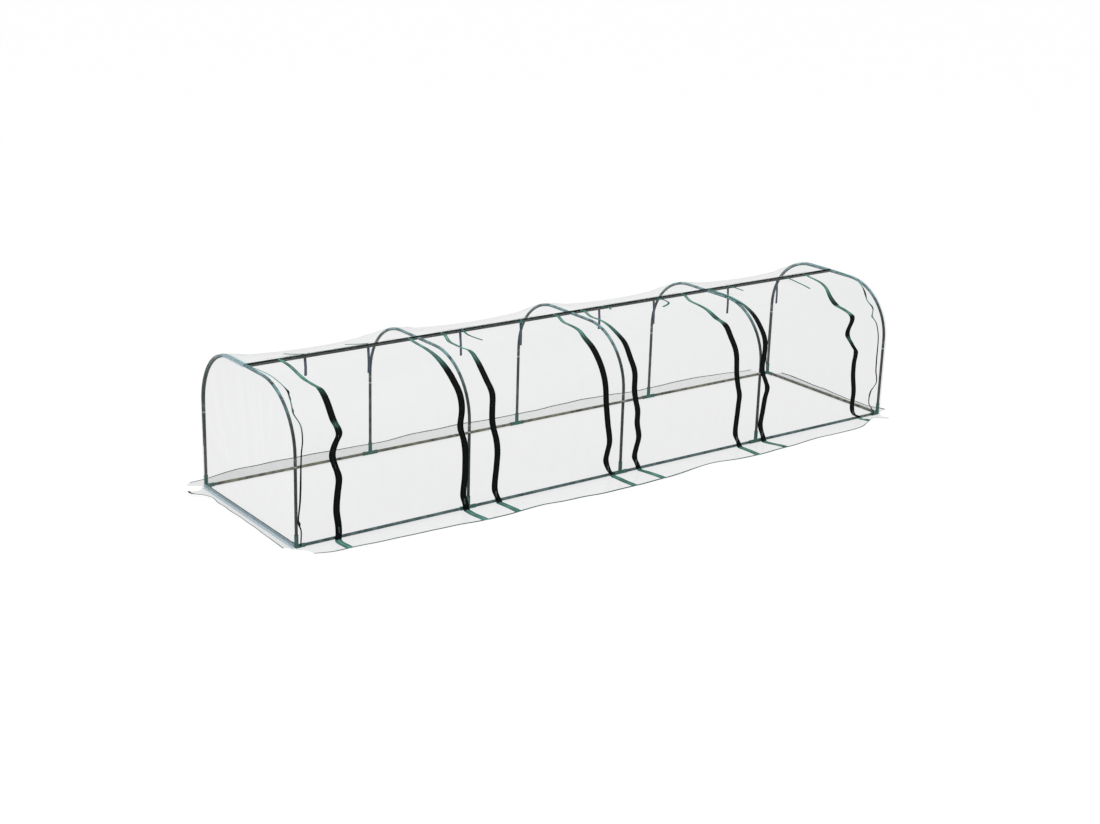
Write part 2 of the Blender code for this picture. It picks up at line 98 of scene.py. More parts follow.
def glide(points: Line, at: float) -> float:
    """Reads a smooth line through a few points.

    Args:
        points: (place, value) pairs in rising order of place.
        at: Where to read.

    Returns:
        The value there, on a spline through the points that is level at both ends and beyond them.
    """
    if at <= points[0][0] or at >= points[-1][0]:
        return points[0][1] if at <= points[0][0] else points[-1][1]
    after = next(index for index, (place, _) in enumerate(points) if at <= place)
    slopes = []
    for index in (after - 1, after):
        inner = 0 < index < len(points) - 1
        before, beyond = (points[index - 1], points[index + 1]) if inner else ((0.0, 0.0), (1.0, 0.0))
        slopes.append((beyond[1] - before[1]) / (beyond[0] - before[0]))
    (low, start), (high, end) = points[after - 1], points[after]
    wide = high - low
    share = (at - low) / wide
    flat = share * share * (3 - 2 * share)
    bend = wide * share * (1 - share) * (slopes[0] * (1 - share) - slopes[1] * share)
    return start + (end - start) * flat + bend


def ease(low: float, high: float, value: float) -> float:
    """Rises smoothly from 0 at low to 1 at high."""
    share = min(max((value - low) / (high - low), 0.0), 1.0)
    return share * share * (3 - 2 * share)


def bump_at(value: float, middle: float, spread: float) -> float:
    """A rounded bump of height 1 about its middle."""
    return math.exp(-(((value - middle) / spread) ** 2))


def rounded(share: float) -> float:
    """How far a round corner has turned in, from 0 to 1."""
    return math.sqrt(max(1 - (1 - share) ** 2, 0.0))


def spread(low: float, high: float, step: float) -> list[float]:
    """Even places from low to high, no further apart than step."""
    count = max(1, math.ceil((high - low) / step))
    return [low + (high - low) * i / count for i in range(count + 1)]


def linear_colour(code: str) -> Colour:
    """Turns an sRGB hex value into the linear colour that a shader takes.

    Args:
        code: Six hex digits after a hash.

    Returns:
        Red, green, blue and an alpha of 1.
    """
    channels = [int(code[i : i + 2], 16) / 255 for i in (1, 3, 5)]
    low, slope, offset, power = 0.04045, 12.92, 0.055, 2.4
    red, green, blue = (c / slope if c <= low else ((c + offset) / (1 + offset)) ** power for c in channels)
    return red, green, blue, 1.0


@dataclass(frozen=True)
class Tunnel:
    """The tunnel's main sizes and the surface that its film lies on.

    A hem's table gives how far the skirt's edge reaches out at places along it. The paths, one for each zip,
    give how far it strays from its slider's x at runs down the film, and are written down in millimetres.
    """

    hoops: tuple[float, ...]
    zips: tuple[float, ...]
    tube: float
    half_width: float
    ridge_z: float
    rail_z: float
    leg_top: float
    wall_reach: float
    end_face: float
    rest_z: float
    skirt: float
    travel: float
    lean: float = 0.03
    bend_radius: float = 0.32
    toe_radius: float = 0.012
    gap: float = 0.0003
    front_sag: float = 0.035
    back_sag: float = 0.032
    end_dish: float = 0.012
    end_corner: float = 0.045
    end_curl: float = 0.012
    pinned: float = 0.09
    front_hem: Line = (
        (-1.99, 0.59), (-1.85, 0.625), (-1.55, 0.64), (-1.2, 0.655), (-0.95, 0.675), (-0.72, 0.66),
        (-0.4, 0.675), (-0.1, 0.69), (0.28, 0.67), (0.5, 0.63), (0.78, 0.665), (1.0, 0.66),
        (1.35, 0.63), (1.6, 0.63), (1.74, 0.615), (1.85, 0.56), (1.93, 0.53), (1.995, 0.585),
    )
    back_hem: Line = (
        (-1.98, 0.6), (-1.8, 0.64), (-1.35, 0.66), (-0.9, 0.635), (-0.45, 0.665), (0.1, 0.645),
        (0.6, 0.67), (1.05, 0.64), (1.5, 0.66), (1.98, 0.61),
    )
    left_hem: Line = (
        (-0.47, 0.045), (-0.3, 0.04), (-0.05, 0.036), (0.12, 0.04), (0.25, 0.04), (0.32, 0.035),
        (0.37, 0.062), (0.42, 0.112), (0.47, 0.11),
    )
    right_hem: Line = ((-0.47, 0.1), (-0.35, 0.07), (-0.1, 0.06), (0.15, 0.08), (0.47, 0.09))
    paths: tuple[Line, ...] = tuple(
        tuple((run / 1000, shift / 1000) for run, shift in path)
        for path in (
            ((34, -47), (124, -49), (216, -58), (276, -50), (322, -24), (346, -6), (388, 0), (493, -4),
             (535, -1), (579, 16), (607, 20), (646, 0), (698, -14), (753, -8), (803, 3), (835, 5),
             (897, -4), (991, -14), (1071, -10), (1129, -8), (1170, -15), (1252, -11)),
            ((8, -29), (69, -39), (193, -44), (295, -36), (379, -28), (456, -20), (517, -11), (604, -8),
             (680, -12), (763, 2), (929, 4), (1054, 3), (1125, 21), (1201, 15), (1280, 22)),
            ((8, -21), (164, -70), (237, -54), (273, -21), (349, -21), (413, -25), (477, -23), (545, -12),
             (618, -16), (714, -8), (799, 3), (866, 7), (925, 4), (1008, 0), (1068, 4), (1128, 26),
             (1194, 33), (1311, 38)),
            ((21, -22), (146, -58), (261, -42), (326, -47), (399, -40), (484, -37), (592, -32), (714, -24),
             (829, -11), (937, 7), (997, -2), (1040, -6), (1098, 17), (1145, 46), (1228, 45), (1313, 50)),
            ((17, -30), (146, -65), (245, -48), (331, -38), (405, -25), (497, -29), (575, -22), (659, -30),
             (722, -20), (795, -2), (865, -2), (947, 14), (1016, 0), (1060, -4), (1109, 19), (1181, 47),
             (1316, 60)),
            ((3, -38), (137, -83), (271, -63), (346, -54), (403, -28), (491, -31), (573, -25), (662, -26),
             (763, -12), (830, 3), (893, -1), (985, -3), (1060, 8), (1126, 38), (1195, 36), (1296, 27)),
            ((19, -26), (118, -28), (230, -30), (314, -14), (384, -2), (459, 2), (527, 6), (607, -4),
             (674, -12), (720, -10), (769, 7), (822, 22), (880, 7), (953, 0), (1029, 4), (1110, 37),
             (1176, 37), (1281, 58)),
            ((0, -2), (78, -19), (162, -24), (243, -42), (336, -76), (404, -76), (448, -40), (492, -10),
             (521, -20), (574, -71), (606, -78), (663, -36), (706, -4), (779, -19), (855, -21), (954, -4),
             (1052, 5), (1105, 29), (1126, 70), (1187, 96)),
        )
    )

    @classmethod
    def measure(cls) -> "Tunnel":
        """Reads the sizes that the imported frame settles.

        Returns:
            The tunnel.
        """
        legs = [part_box(f"front_leg_{number}") for number in range(1, 6)]
        sliders = [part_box(f"zip_slider_{number}") for number in range(1, 9)]
        ridge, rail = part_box("ridge_tube_1"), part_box("front_rail_1")
        slide = next(joint for joint in frame["joints"] if joint["name"] == "zip_1_slide")
        tape, pull_drop, rail_to_face = 1.5 * MM, 22.5 * MM, 21.3 * MM
        hoops = tuple((low.x + high.x) / 2 for low, high in legs)
        rail_z = (rail[0].z + rail[1].z) / 2
        return cls(
            hoops=hoops,
            zips=tuple((low.x + high.x) / 2 for low, high in sliders),
            tube=(legs[0][1].x - legs[0][0].x) / 2,
            half_width=-(legs[0][0].y + legs[0][1].y) / 2,
            ridge_z=(ridge[0].z + ridge[1].z) / 2,
            rail_z=rail_z,
            leg_top=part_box("hoop_top_1")[0].z,
            wall_reach=-sliders[0][1].y - tape - cls.gap,
            end_face=hoops[-1] - rail_z + rail_to_face,
            rest_z=sliders[0][0].z + pull_drop,
            skirt=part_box("cover_back")[1].y,
            travel=slide["range_m"][1] * slide["axis"][2],
        )

    @property
    def bend_z(self) -> float:
        """The height where the bend meets the wall."""
        return self.ridge_z - self.bend_radius

    @property
    def flat(self) -> float:
        """The run from the ridge to where the bend starts."""
        return self.half_width - self.bend_radius

    @property
    def shoulder(self) -> float:
        """The run from the ridge to the foot of the bend."""
        return self.flat + self.bend_radius * math.pi / 2

    @property
    def ground(self) -> float:
        """The run from the ridge to the toe."""
        return self.shoulder + self.bend_z - self.toe_radius

    @property
    def toe_end(self) -> float:
        """The run from the ridge to where the skirt lies flat."""
        return self.ground + self.toe_radius * math.pi / 2

    @property
    def hem_run(self) -> float:
        """The run from the ridge to the hem, on the average skirt."""
        return self.toe_end + self.skirt - self.wall_reach - self.toe_radius

    @property
    def rest_run(self) -> float:
        """The run at which a slider rests."""
        return self.shoulder + self.bend_z - self.rest_z

    @property
    def stop_run(self) -> float:
        """The run at which a slider stops."""
        return self.rest_run - self.travel

    def skirt_share(self, run: float) -> float:
        """How far out on the skirt a run lies: 0 up to the toe, 1 at the hem."""
        return max(run - self.toe_end, 0.0) / (self.hem_run - self.toe_end)

    def section(self, run: float) -> tuple[float, float, float, float]:
        """The film's place over a hoop.

        Args:
            run: The way along the film from the ridge.

        Returns:
            The reach from the tunnel's middle, the height, and the way the film faces, outward and upward.
        """
        roof = self.tube + self.gap
        if run <= self.flat:
            return run, self.ridge_z + roof, 0.0, 1.0
        if run <= self.shoulder:
            angle = (run - self.flat) / self.bend_radius
            wall = self.wall_reach - self.half_width
            radius = self.bend_radius + roof + (wall - roof) * angle / (math.pi / 2)
            outward, upward = math.sin(angle), math.cos(angle)
            return self.flat + radius * outward, self.bend_z + radius * upward, outward, upward
        if run <= self.ground:
            return self.wall_reach, self.bend_z - (run - self.shoulder), 1.0, 0.0
        if run <= self.toe_end:
            turned = (run - self.ground) / self.toe_radius
            outward, upward = math.cos(turned), math.sin(turned)
            reach = self.wall_reach + self.toe_radius * (1 - outward)
            return reach, self.toe_radius * (1 - upward), outward, upward
        return self.wall_reach + self.toe_radius + run - self.toe_end, 0.0, 0.0, 1.0

    def run_of(self, co: Vector) -> float:
        """The run of a point on the roof or a long wall.

        Args:
            co: The point.

        Returns:
            The way along the film from the ridge.
        """
        reach = abs(co.y)
        if co.z <= self.bend_z:
            return self.shoulder + self.bend_z - co.z
        if reach <= self.flat:
            return reach
        return self.flat + self.bend_radius * math.atan2(reach - self.flat, co.z - self.bend_z)

    def sag(self, x: float, run: float, side: Side) -> float:
        """How far the film hangs in between two hoops.

        Args:
            x: The place along the tunnel.
            run: The way along the film from the ridge.
            side: The front or the back of the tunnel.

        Returns:
            The depth of the sag there.
        """
        bay = self.hoops[1] - self.hoops[0]
        place = (min(max(x, self.hoops[0]), self.hoops[-1]) - self.hoops[0]) / bay
        between = math.sin(math.pi * (place - min(math.floor(place), len(self.hoops) - 2)))
        share = min(max(run / self.ground, 0.0), 1.0)
        if side is Side.FRONT:
            over = self.shoulder / self.ground
            return self.front_sag * between * math.sin(math.pi * min(share / over, 1.0)) ** 2
        return self.back_sag * between * math.sin(math.pi * share**0.7) ** 2

    def zip_x(self, number: int, run: float) -> float:
        """Where the middle of a zip passes.

        Args:
            number: The zip, from 1 at the left to 8 at the right.
            run: The way along the film from the ridge.

        Returns:
            Its x, which is the slider's own where the slider rests and stops.
        """
        path = self.paths[number - 1]
        x = self.zips[number - 1] + glide(path, run)
        for place, slid in ((self.rest_run, 0.0), (self.stop_run, -self.lean)):
            x -= (glide(path, place) - slid) * bump_at(run, place, self.pinned)
        return x

    def point(self, x: float, run: float, side: Side, lift: float = 0.0) -> Vector:
        """A point of the cover's roof, long walls or their skirts.

        Args:
            x: The place along the tunnel.
            run: The way along the film from the ridge.
            side: The front or the back of the tunnel.
            lift: How far the point stands off the film.

        Returns:
            The point.
        """
        reach, height, outward, upward = self.section(run)
        if run > self.toe_end:
            share = self.skirt_share(run)
            base = self.wall_reach + self.toe_radius
            hem = glide(self.front_hem if side is Side.FRONT else self.back_hem, x)
            reach = base + share * (hem - base)
            ripple = noise.noise(Vector((x * 5.5, side.value * 3.0, 0.0)))
            height = max((2.5 + 5.5 * ripple) * MM * ease(0.2, 1.0, share), 0.0)
            out = lift
        else:
            out = lift - self.sag(x, run, side)
        return Vector((x, side.value * (reach + outward * out), height + upward * out))

    def end_point(self, across: float, run: float, end: End, lift: float = 0.0) -> Vector:
        """A point of an end panel or its skirt.

        Args:
            across: From -1 at the front edge to 1 at the back edge.
            run: The way along the film from the ridge, which here sets the height.
            end: The end of the tunnel.
            lift: How far the point stands off the film.

        Returns:
            The point.
        """
        reach, height, outward, upward = self.section(run)
        half = min(reach, self.wall_reach) - self.gap
        x = self.end_face + lift
        if run <= self.ground:
            rise = min(max((height - self.rail_z) / (self.ridge_z - self.rail_z), 0.0), 1.0)
            x -= self.end_dish * (1 - across**2) * math.sin(math.pi * rise)
            return Vector((end.value * x, across * half, height))
        x = self.end_face + reach - self.wall_reach + lift * outward
        if run > self.toe_end:
            share = self.skirt_share(run)
            half -= self.end_corner * rounded(share)
            out = glide(self.left_hem if end is End.LEFT else self.right_hem, across * half)
            x = self.end_face + self.toe_radius + share * (out - self.toe_radius)
            ripple = noise.noise(Vector((across * 4.0, end.value * 7.0, 0.5)))
            curl = self.end_curl * ease(0.25, 0.45, across * half) if end is End.LEFT else 0.0
            height = max((2.5 + 6.0 * ripple) * MM + curl, 0.0) * ease(0.2, 1.0, share)
        return Vector((end.value * x, across * half, height + lift * upward))


def add_node(
    tree: Tree, kind: str, sockets: Optional[Inputs] = None, out: Union[int, str] = 0, **settings: object
) -> Optional[Socket]:
    """Adds a shader node, with its settings and what its sockets take.

    Args:
        tree: The nodes of a material or of the world.
        kind: Blender's name for the node, after ShaderNode.
        sockets: A value or another node's output for each input named.
        out: The output that is wanted.
        settings: The node's own options.

    Returns:
        That output, or None from a node that has none.
    """
    node = tree.nodes.new(f"ShaderNode{kind}")
    for key, value in settings.items():
        setattr(node, key, value)
    for key, value in (sockets or {}).items():
        if isinstance(value, Socket):
            tree.links.new(value, node.inputs[key])
        else:
            node.inputs[key].default_value = value
    return node.outputs[out] if node.outputs else None


def crossed_waves(tree: Tree, turn: float, size_mm: float, joined: str, distortion: float = 0.0) -> Socket:
    """Lays two sets of bands across each other on the cloth, as a knurl or a twill has them.

    Args:
        tree: The material's nodes.
        turn: How far each set leans from the cloth's edge, in radians.
        size_mm: The distance from band to band.
        joined: How the sets join, as a Math node names it.
        distortion: How unevenly they run.

    Returns:
        The pattern, from 0 to 1.
    """
    cloth = add_node(tree, "UVMap", uv_map="cloth")
    bands_per_unit = 3.2  # what a wave texture draws at a scale of 1
    waves = []
    for angle in (turn, -turn):
        turned = add_node(tree, "Mapping", {"Vector": cloth, "Rotation": (0.0, 0.0, angle)})
        size = {"Vector": turned, "Scale": 1 / (size_mm * MM) / bands_per_unit, "Distortion": distortion}
        waves.append(add_node(tree, "TexWave", size, "Fac"))
    return add_node(tree, "Math", {0: waves[0], 1: waves[1]}, operation=joined)


@dataclass(frozen=True)
class Finish:
    """What a piece is made of: each finish has a name and says what its shader takes."""

    name: str

    def make(self) -> Material:
        """Builds the material.

        Returns:
            The material, with its nodes.
        """
        material = bpy.data.materials.new(self.name)
        material.use_nodes = True
        tree = material.node_tree
        tree.nodes.clear()
        add_node(tree, "OutputMaterial", {"Surface": add_node(tree, "BsdfPrincipled", self.shade(tree))})
        return material

    def shade(self, tree: Tree) -> Inputs:
        """Adds the finish's nodes and says what the shader takes."""
        raise NotImplementedError


@dataclass(frozen=True)
class PowderCoat(Finish):
    """Powder-coated steel: satin paint with a fine orange peel, bare zinc where tubes push together.

    Up on the roof a painted highlight turns the paint pale blue-green where it faces the sky, and the front
    tubes get a paler tint of it low down; dry soil dulls the rails and the feet of the legs along the back
    and the right end.
    """

    name: str = "powder-coated steel"
    colour: str = "#12241f"
    worn: str = "#43463a"
    highlight_tint: str = "#86b8bd"
    dusty: str = "#8e8d78"
    bare: str = "#c3c8c6"
    peel_mm: float = 1.1
    patch_mm: float = 38.0

    def shade(self, tree: Tree) -> Inputs:
        """Lays wear, a pale tint, dust and bare metal over the paint, each where it is painted on the mesh.

        Args:
            tree: The material\'s nodes.

        Returns:
            What each named input of the shader takes.
        """
        place = add_node(tree, "TexCoord", out="Object")
        fine = {"Vector": place, "Scale": 1 / (self.peel_mm * MM), "Detail": 2.0}
        peel = add_node(tree, "TexNoise", fine, "Fac")
        coarse = {"Vector": place, "Scale": 1 / (self.patch_mm * MM), "Detail": 5.0}
        patch = add_node(tree, "TexNoise", coarse, "Fac")
        wear = {"Value": patch, "From Min": 0.45, "From Max": 0.72}
        layers = [(add_node(tree, "MapRange", wear), self.worn)]
        thick = add_node(tree, "MapRange", {"Value": patch, "From Min": 0.3, "From Max": 0.6})
        # The pale tint is a painted highlight where the roof tubes face the sky, and a paler tint low on the
        # front tubes.
        for painted, colour in (("highlight_and_front_tint", self.highlight_tint), ("dust", self.dusty)):
            over = add_node(tree, "Attribute", out="Fac", attribute_name=painted)
            layers.append((add_node(tree, "Math", {0: over, 1: thick}, operation="MULTIPLY"), colour))
        metal = add_node(tree, "Attribute", out="Fac", attribute_name="bare")
        tone: Union[Socket, Colour] = linear_colour(self.colour)
        for share, colour in (*layers, (metal, self.bare)):
            mixed = {"Factor": share, 6: tone, 7: linear_colour(colour)}
            tone = add_node(tree, "Mix", mixed, 2, data_type="RGBA")
        satin = {"Value": patch, "From Min": 0.3, "From Max": 0.7, "To Min": 0.24, "To Max": 0.4}
        return {
            "Base Color": tone,
            "Roughness": add_node(tree, "MapRange", satin),
            "Metallic": metal,
            "Normal": add_node(tree, "Bump", {"Height": peel, "Strength": 0.25, "Distance": 0.08 * MM}),
            "Specular IOR Level": 0.35,
        }


@dataclass(frozen=True)
class MouldedPolypropylene(Finish):
    """Injection-moulded polypropylene: a spark-eroded grain, softly mottled with a paler, dusty tone."""

    name: str = "moulded polypropylene"
    colour: str = "#1f5a4f"
    dust: str = "#5f8f86"
    grain_mm: float = 0.9
    cloud_mm: float = 14.0

    def shade(self, tree: Tree) -> Inputs:
        """Mottles the colour and roughens the surface with its grain.

        Args:
            tree: The material\'s nodes.

        Returns:
            What each named input of the shader takes.
        """
        place = add_node(tree, "TexCoord", out="Object")
        fine = {"Vector": place, "Scale": 1 / (self.grain_mm * MM), "Detail": 3.0}
        grain = add_node(tree, "TexNoise", fine, "Fac")
        coarse = {"Vector": place, "Scale": 1 / (self.cloud_mm * MM), "Detail": 3.0}
        cloud = add_node(tree, "TexNoise", coarse, "Fac")
        soft = {"Value": cloud, "From Min": 0.4, "From Max": 0.8, "To Max": 0.45}
        mottle = add_node(tree, "MapRange", soft)
        mixed = {"Factor": mottle, 6: linear_colour(self.colour), 7: linear_colour(self.dust)}
        return {
            "Base Color": add_node(tree, "Mix", mixed, 2, data_type="RGBA"),
            "Roughness": 0.45,
            "Specular IOR Level": 0.4,
            "Normal": add_node(tree, "Bump", {"Height": grain, "Strength": 0.4, "Distance": 0.06 * MM}),
        }


@dataclass(frozen=True)
class CalenderedFilm(Finish):
    """Calendered PVC film: it dims what lies behind it a little, more at a glance, and has soft draw lines.

    How dense the film looks is painted on each sheet as its haze.
    """

    name: str = "calendered PVC film"
    rim: float = 0.12
    colour: str = "#4a5355"
    draw_mm: float = 55.0
    dimple_mm: float = 16.0

    def shade(self, tree: Tree) -> Inputs:
        """Turns the haze, a little cloudy, and the glance into how much the film covers.

        Args:
            tree: The material\'s nodes.

        Returns:
            What each named input of the shader takes.
        """
        cloth = add_node(tree, "UVMap", uv_map="cloth")
        drawn = {"Vector": cloth, "Scale": (1.0, 0.22, 1.0), "Rotation": (0.0, 0.0, 0.25)}
        stretch = add_node(tree, "Mapping", drawn)
        long = {"Vector": stretch, "Scale": 1 / (self.draw_mm * MM), "Detail": 3.0, "Distortion": 0.6}
        draw = add_node(tree, "TexNoise", long, "Fac")
        short = {"Vector": cloth, "Scale": 1 / (self.dimple_mm * MM), "Detail": 2.0}
        dimple = add_node(tree, "TexNoise", short, "Fac")
        folds = add_node(tree, "Bump", {"Height": draw, "Strength": 0.5, "Distance": 5 * MM})
        skin = {"Height": dimple, "Strength": 0.18, "Distance": 1 * MM, "Normal": folds}
        haze = add_node(tree, "Attribute", out="Fac", attribute_name="haze")
        uneven = {"Value": draw, "From Min": 0.3, "From Max": 0.75, "To Min": 0.98, "To Max": 1.03}
        body = add_node(
            tree, "Math", {0: haze, 1: add_node(tree, "MapRange", uneven)}, operation="MULTIPLY"
        )
        glance = add_node(tree, "LayerWeight", {"Blend": 0.32}, "Facing")
        edge = add_node(tree, "MapRange", {"Value": glance, "From Min": 0.5, "To Max": self.rim})
        return {
            "Base Color": linear_colour(self.colour),
            "Roughness": 0.2,
            "IOR": 1.53,
            "Alpha": add_node(tree, "Math", {0: body, 1: edge}, operation="ADD", use_clamp=True),
            "Normal": add_node(tree, "Bump", skin),
        }


@dataclass(frozen=True)
class KnurledWeld(Finish):
    """A seam of doubled PVC film pressed by a knurled welding wheel: a pale blue hatch of small diamonds.

    The real knurl is about 1.5 mm; it is drawn coarser so that it shows.
    """

    name: str = "knurled weld"
    haze: float = 0.8
    colour: str = "#e2f1f7"
    groove: str = "#86a9ba"
    hatch_mm: float = 6.0

    def shade(self, tree: Tree) -> Inputs:
        """Colours, clears and presses the film by the hatch.

        Args:
            tree: The material\'s nodes.

        Returns:
            What each named input of the shader takes.
        """
        hatch = crossed_waves(tree, 0.7, self.hatch_mm, "MINIMUM")
        mixed = {"Factor": hatch, 6: linear_colour(self.groove), 7: linear_colour(self.colour)}
        clear = {"Value": hatch, "To Min": self.haze, "To Max": self.haze * 0.7}
        return {
            "Base Color": add_node(tree, "Mix", mixed, 2, data_type="RGBA"),
            "Roughness": 0.3,
            "Alpha": add_node(tree, "MapRange", clear),
            "Normal": add_node(tree, "Bump", {"Height": hatch, "Strength": 0.6, "Distance": 0.4 * MM}),
        }


@dataclass(frozen=True)
class WovenTape(Finish):
    """Woven polyester tape: a herringbone weave with two rows of lockstitch.

    It is near black where it hangs and shows a pale sheen where it lies face up, as the photograph shows.
    The picks are drawn at 1.6 mm, where the real ones are under 1 mm.
    """

    colour: str
    sheen: str
    thread: str
    pick_mm: float = 1.6
    fuzz_mm: float = 9.0
    stitch_mm: float = 6.0
    rows: tuple[float, ...] = (0.3, 0.88)

    def shade(self, tree: Tree) -> Inputs:
        """Shades the weave, its uneven dye and the thread on it.

        Args:
            tree: The material\'s nodes.

        Returns:
            What each named input of the shader takes.
        """
        twill = crossed_waves(tree, 0.6, self.pick_mm, "MULTIPLY", 0.4)
        cloth = add_node(tree, "UVMap", uv_map="cloth")
        rough = {"Vector": cloth, "Scale": 1 / (self.fuzz_mm * MM), "Detail": 4.0}
        fuzz = add_node(tree, "TexNoise", rough, "Fac")
        # Painted sheen: the colour turns to the sheen colour where face_up is high.
        lie = add_node(tree, "Attribute", out="Fac", attribute_name="face_up")
        mixed = {"Factor": lie, 6: linear_colour(self.colour), 7: linear_colour(self.sheen)}
        base = add_node(tree, "Mix", mixed, 2, data_type="RGBA")
        picks = add_node(tree, "MapRange", {"Value": twill, "To Min": 0.72, "To Max": 1.15})
        cloud = add_node(tree, "MapRange", {"Value": fuzz, "To Min": 0.75, "To Max": 1.25})
        depth = add_node(tree, "Math", {0: picks, 1: cloud}, operation="MULTIPLY")
        woven = add_node(tree, "VectorMath", {0: base, "Scale": depth}, operation="SCALE")
        stitched = self.stitches(tree, cloth)
        sewn = {"Factor": stitched, 6: woven, 7: linear_colour(self.thread)}
        height = add_node(tree, "Math", {0: twill, 1: stitched}, operation="ADD")
        return {
            "Base Color": add_node(tree, "Mix", sewn, 2, data_type="RGBA"),
            "Roughness": 0.8,
            "Specular IOR Level": 0.07,
            "Normal": add_node(tree, "Bump", {"Height": height, "Strength": 0.5, "Distance": 0.25 * MM}),
        }

    def stitches(self, tree: Tree, cloth: Socket) -> Socket:
        """Draws dashes of thread along the tape's edges.

        Args:
            tree: The material's nodes.
            cloth: The tape's own coordinates in metres.

        Returns:
            A value that is 1 on the thread.
        """
        share = add_node(tree, "UVMap", uv_map="share")
        across = add_node(tree, "SeparateXYZ", {"Vector": share}, "X")
        along = add_node(tree, "SeparateXYZ", {"Vector": cloth}, "Y")
        stitch, sewn_share, thread_width = self.stitch_mm * MM, 0.62, 0.035
        beat = add_node(tree, "Math", {0: along, 1: stitch}, operation="MODULO")
        dash = add_node(tree, "Math", {0: beat, 1: stitch * sewn_share}, operation="LESS_THAN")
        total: Union[Socket, float] = 0.0
        for row in self.rows:
            near = add_node(tree, "Math", {0: across, 1: row, 2: thread_width}, operation="COMPARE")
            total = add_node(tree, "Math", {0: near, 1: dash, 2: total}, operation="MULTIPLY_ADD")
        return total


@dataclass(frozen=True)
class NylonCoil(Finish):
    """Extruded nylon teeth: smooth and dark on the wall, catching the light where they lie face up."""

    name: str = "nylon zip coil"
    colour: str = "#080d0c"
    shine: str = "#a9d6cb"
    mottle_mm: float = 20.0

    def shade(self, tree: Tree) -> Inputs:
        """Lightens what lies face up and varies the gloss.

        Args:
            tree: The material\'s nodes.

        Returns:
            What each named input of the shader takes.
        """
        place = add_node(tree, "TexCoord", out="Object")
        soft = {"Vector": place, "Scale": 1 / (self.mottle_mm * MM), "Detail": 3.0}
        mottle = add_node(tree, "TexNoise", soft, "Fac")
        # Painted highlight: the teeth turn to the shine colour where face_up is high.
        lie = add_node(tree, "Attribute", out="Fac", attribute_name="face_up")
        mixed = {"Factor": lie, 6: linear_colour(self.colour), 7: linear_colour(self.shine)}
        return {
            "Base Color": add_node(tree, "Mix", mixed, 2, data_type="RGBA"),
            "Roughness": add_node(tree, "MapRange", {"Value": mottle, "To Min": 0.35, "To Max": 0.55}),
            "Specular IOR Level": 0.12,
        }


@dataclass(frozen=True)
class PaintedZinc(Finish):
    """Painted zinc die casting: glossy dark paint, rubbed to grey metal on raised edges."""

    name: str = "painted zinc die casting"
    colour: str = "#16302b"
    metal: str = "#8d9896"
    rub_mm: float = 2.5

    def shade(self, tree: Tree) -> Inputs:
        """Rubs the paint through where the surface is most raised.

        Args:
            tree: The material\'s nodes.

        Returns:
            What each named input of the shader takes.
        """
        place = add_node(tree, "TexCoord", out="Object")
        fine = {"Vector": place, "Scale": 1 / (self.rub_mm * MM), "Detail": 6.0}
        rub = add_node(tree, "TexNoise", fine, "Fac")
        raised = add_node(tree, "NewGeometry", out="Pointiness")
        worn = add_node(tree, "Math", {0: raised, 1: rub}, operation="MULTIPLY")
        mask = add_node(tree, "MapRange", {"Value": worn, "From Min": 0.29, "From Max": 0.34})
        mixed = {"Factor": mask, 6: linear_colour(self.colour), 7: linear_colour(self.metal)}
        return {
            "Base Color": add_node(tree, "Mix", mixed, 2, data_type="RGBA"),
            "Metallic": mask,
            "Roughness": 0.32,
            "Coat Weight": 0.4,
        }


@dataclass
class Finishes:
    """Every finish of the greenhouse, made once."""

    steel: Material = field(default_factory=PowderCoat().make)
    plastic: Material = field(default_factory=MouldedPolypropylene().make)
    film: Material = field(default_factory=CalenderedFilm().make)
    weld: Material = field(default_factory=KnurledWeld().make)
    tape: Material = field(
        default_factory=WovenTape("woven zip tape", "#060c0b", "#62b3a2", "#16231f").make
    )
    binding: Material = field(
        default_factory=WovenTape(
            "woven hem binding", "#1d3f38", "#2a584d", "#5f8a80", rows=(0.5,), stitch_mm=8.0
        ).make
    )
    seam: Material = field(
        default_factory=WovenTape("woven seam binding", "#0a1412", "#0a2320", "#1d3833").make
    )
    edging: Material = field(
        default_factory=WovenTape("woven end edging", "#0a1412", "#93c8bd", "#3d5a54").make
    )
    tie: Material = field(
        default_factory=WovenTape("woven tie tape", "#46536b", "#2f7566", "#7f8ca0").make
    )
    coil: Material = field(default_factory=NylonCoil().make)
    zinc: Material = field(default_factory=PaintedZinc().make)


def new_piece(
    name: str, shape: Mesh, finish: Material, smooth: float = 40.0, depth: float = 0.0, offset: float = 1.0
) -> Object:
    """Turns a finished bmesh into a piece.

    Args:
        name: The piece's name.
        shape: The mesh, which is freed.
        finish: Its material.
        smooth: The angle in degrees under which edges are shaded smooth.
        depth: The thickness that an open surface is given.
        offset: Where the thickness goes: 1 outward, -1 inward.

    Returns:
        The new object, at the origin.
    """
    mesh = bpy.data.meshes.new(name)
    shape.to_mesh(mesh)
    shape.free()
    mesh.materials.append(finish)
    mesh.shade_smooth()
    mesh.set_sharp_from_angle(angle=math.radians(smooth))
    piece = bpy.data.objects.new(name, mesh)
    bpy.context.scene.collection.objects.link(piece)
    if depth:
        modifier = piece.modifiers.new("thickness", "SOLIDIFY")
        modifier.thickness, modifier.offset, modifier.use_even_offset = depth, offset, True
    return piece


def settle_modifiers(piece: Object) -> None:
    """Replaces a piece's mesh by what its modifiers make of it.

    Args:
        piece: The piece.
    """
    bpy.context.view_layer.update()
    graph = bpy.context.evaluated_depsgraph_get()
    mesh = bpy.data.meshes.new_from_object(piece.evaluated_get(graph))
    piece.modifiers.clear()
    piece.data = mesh


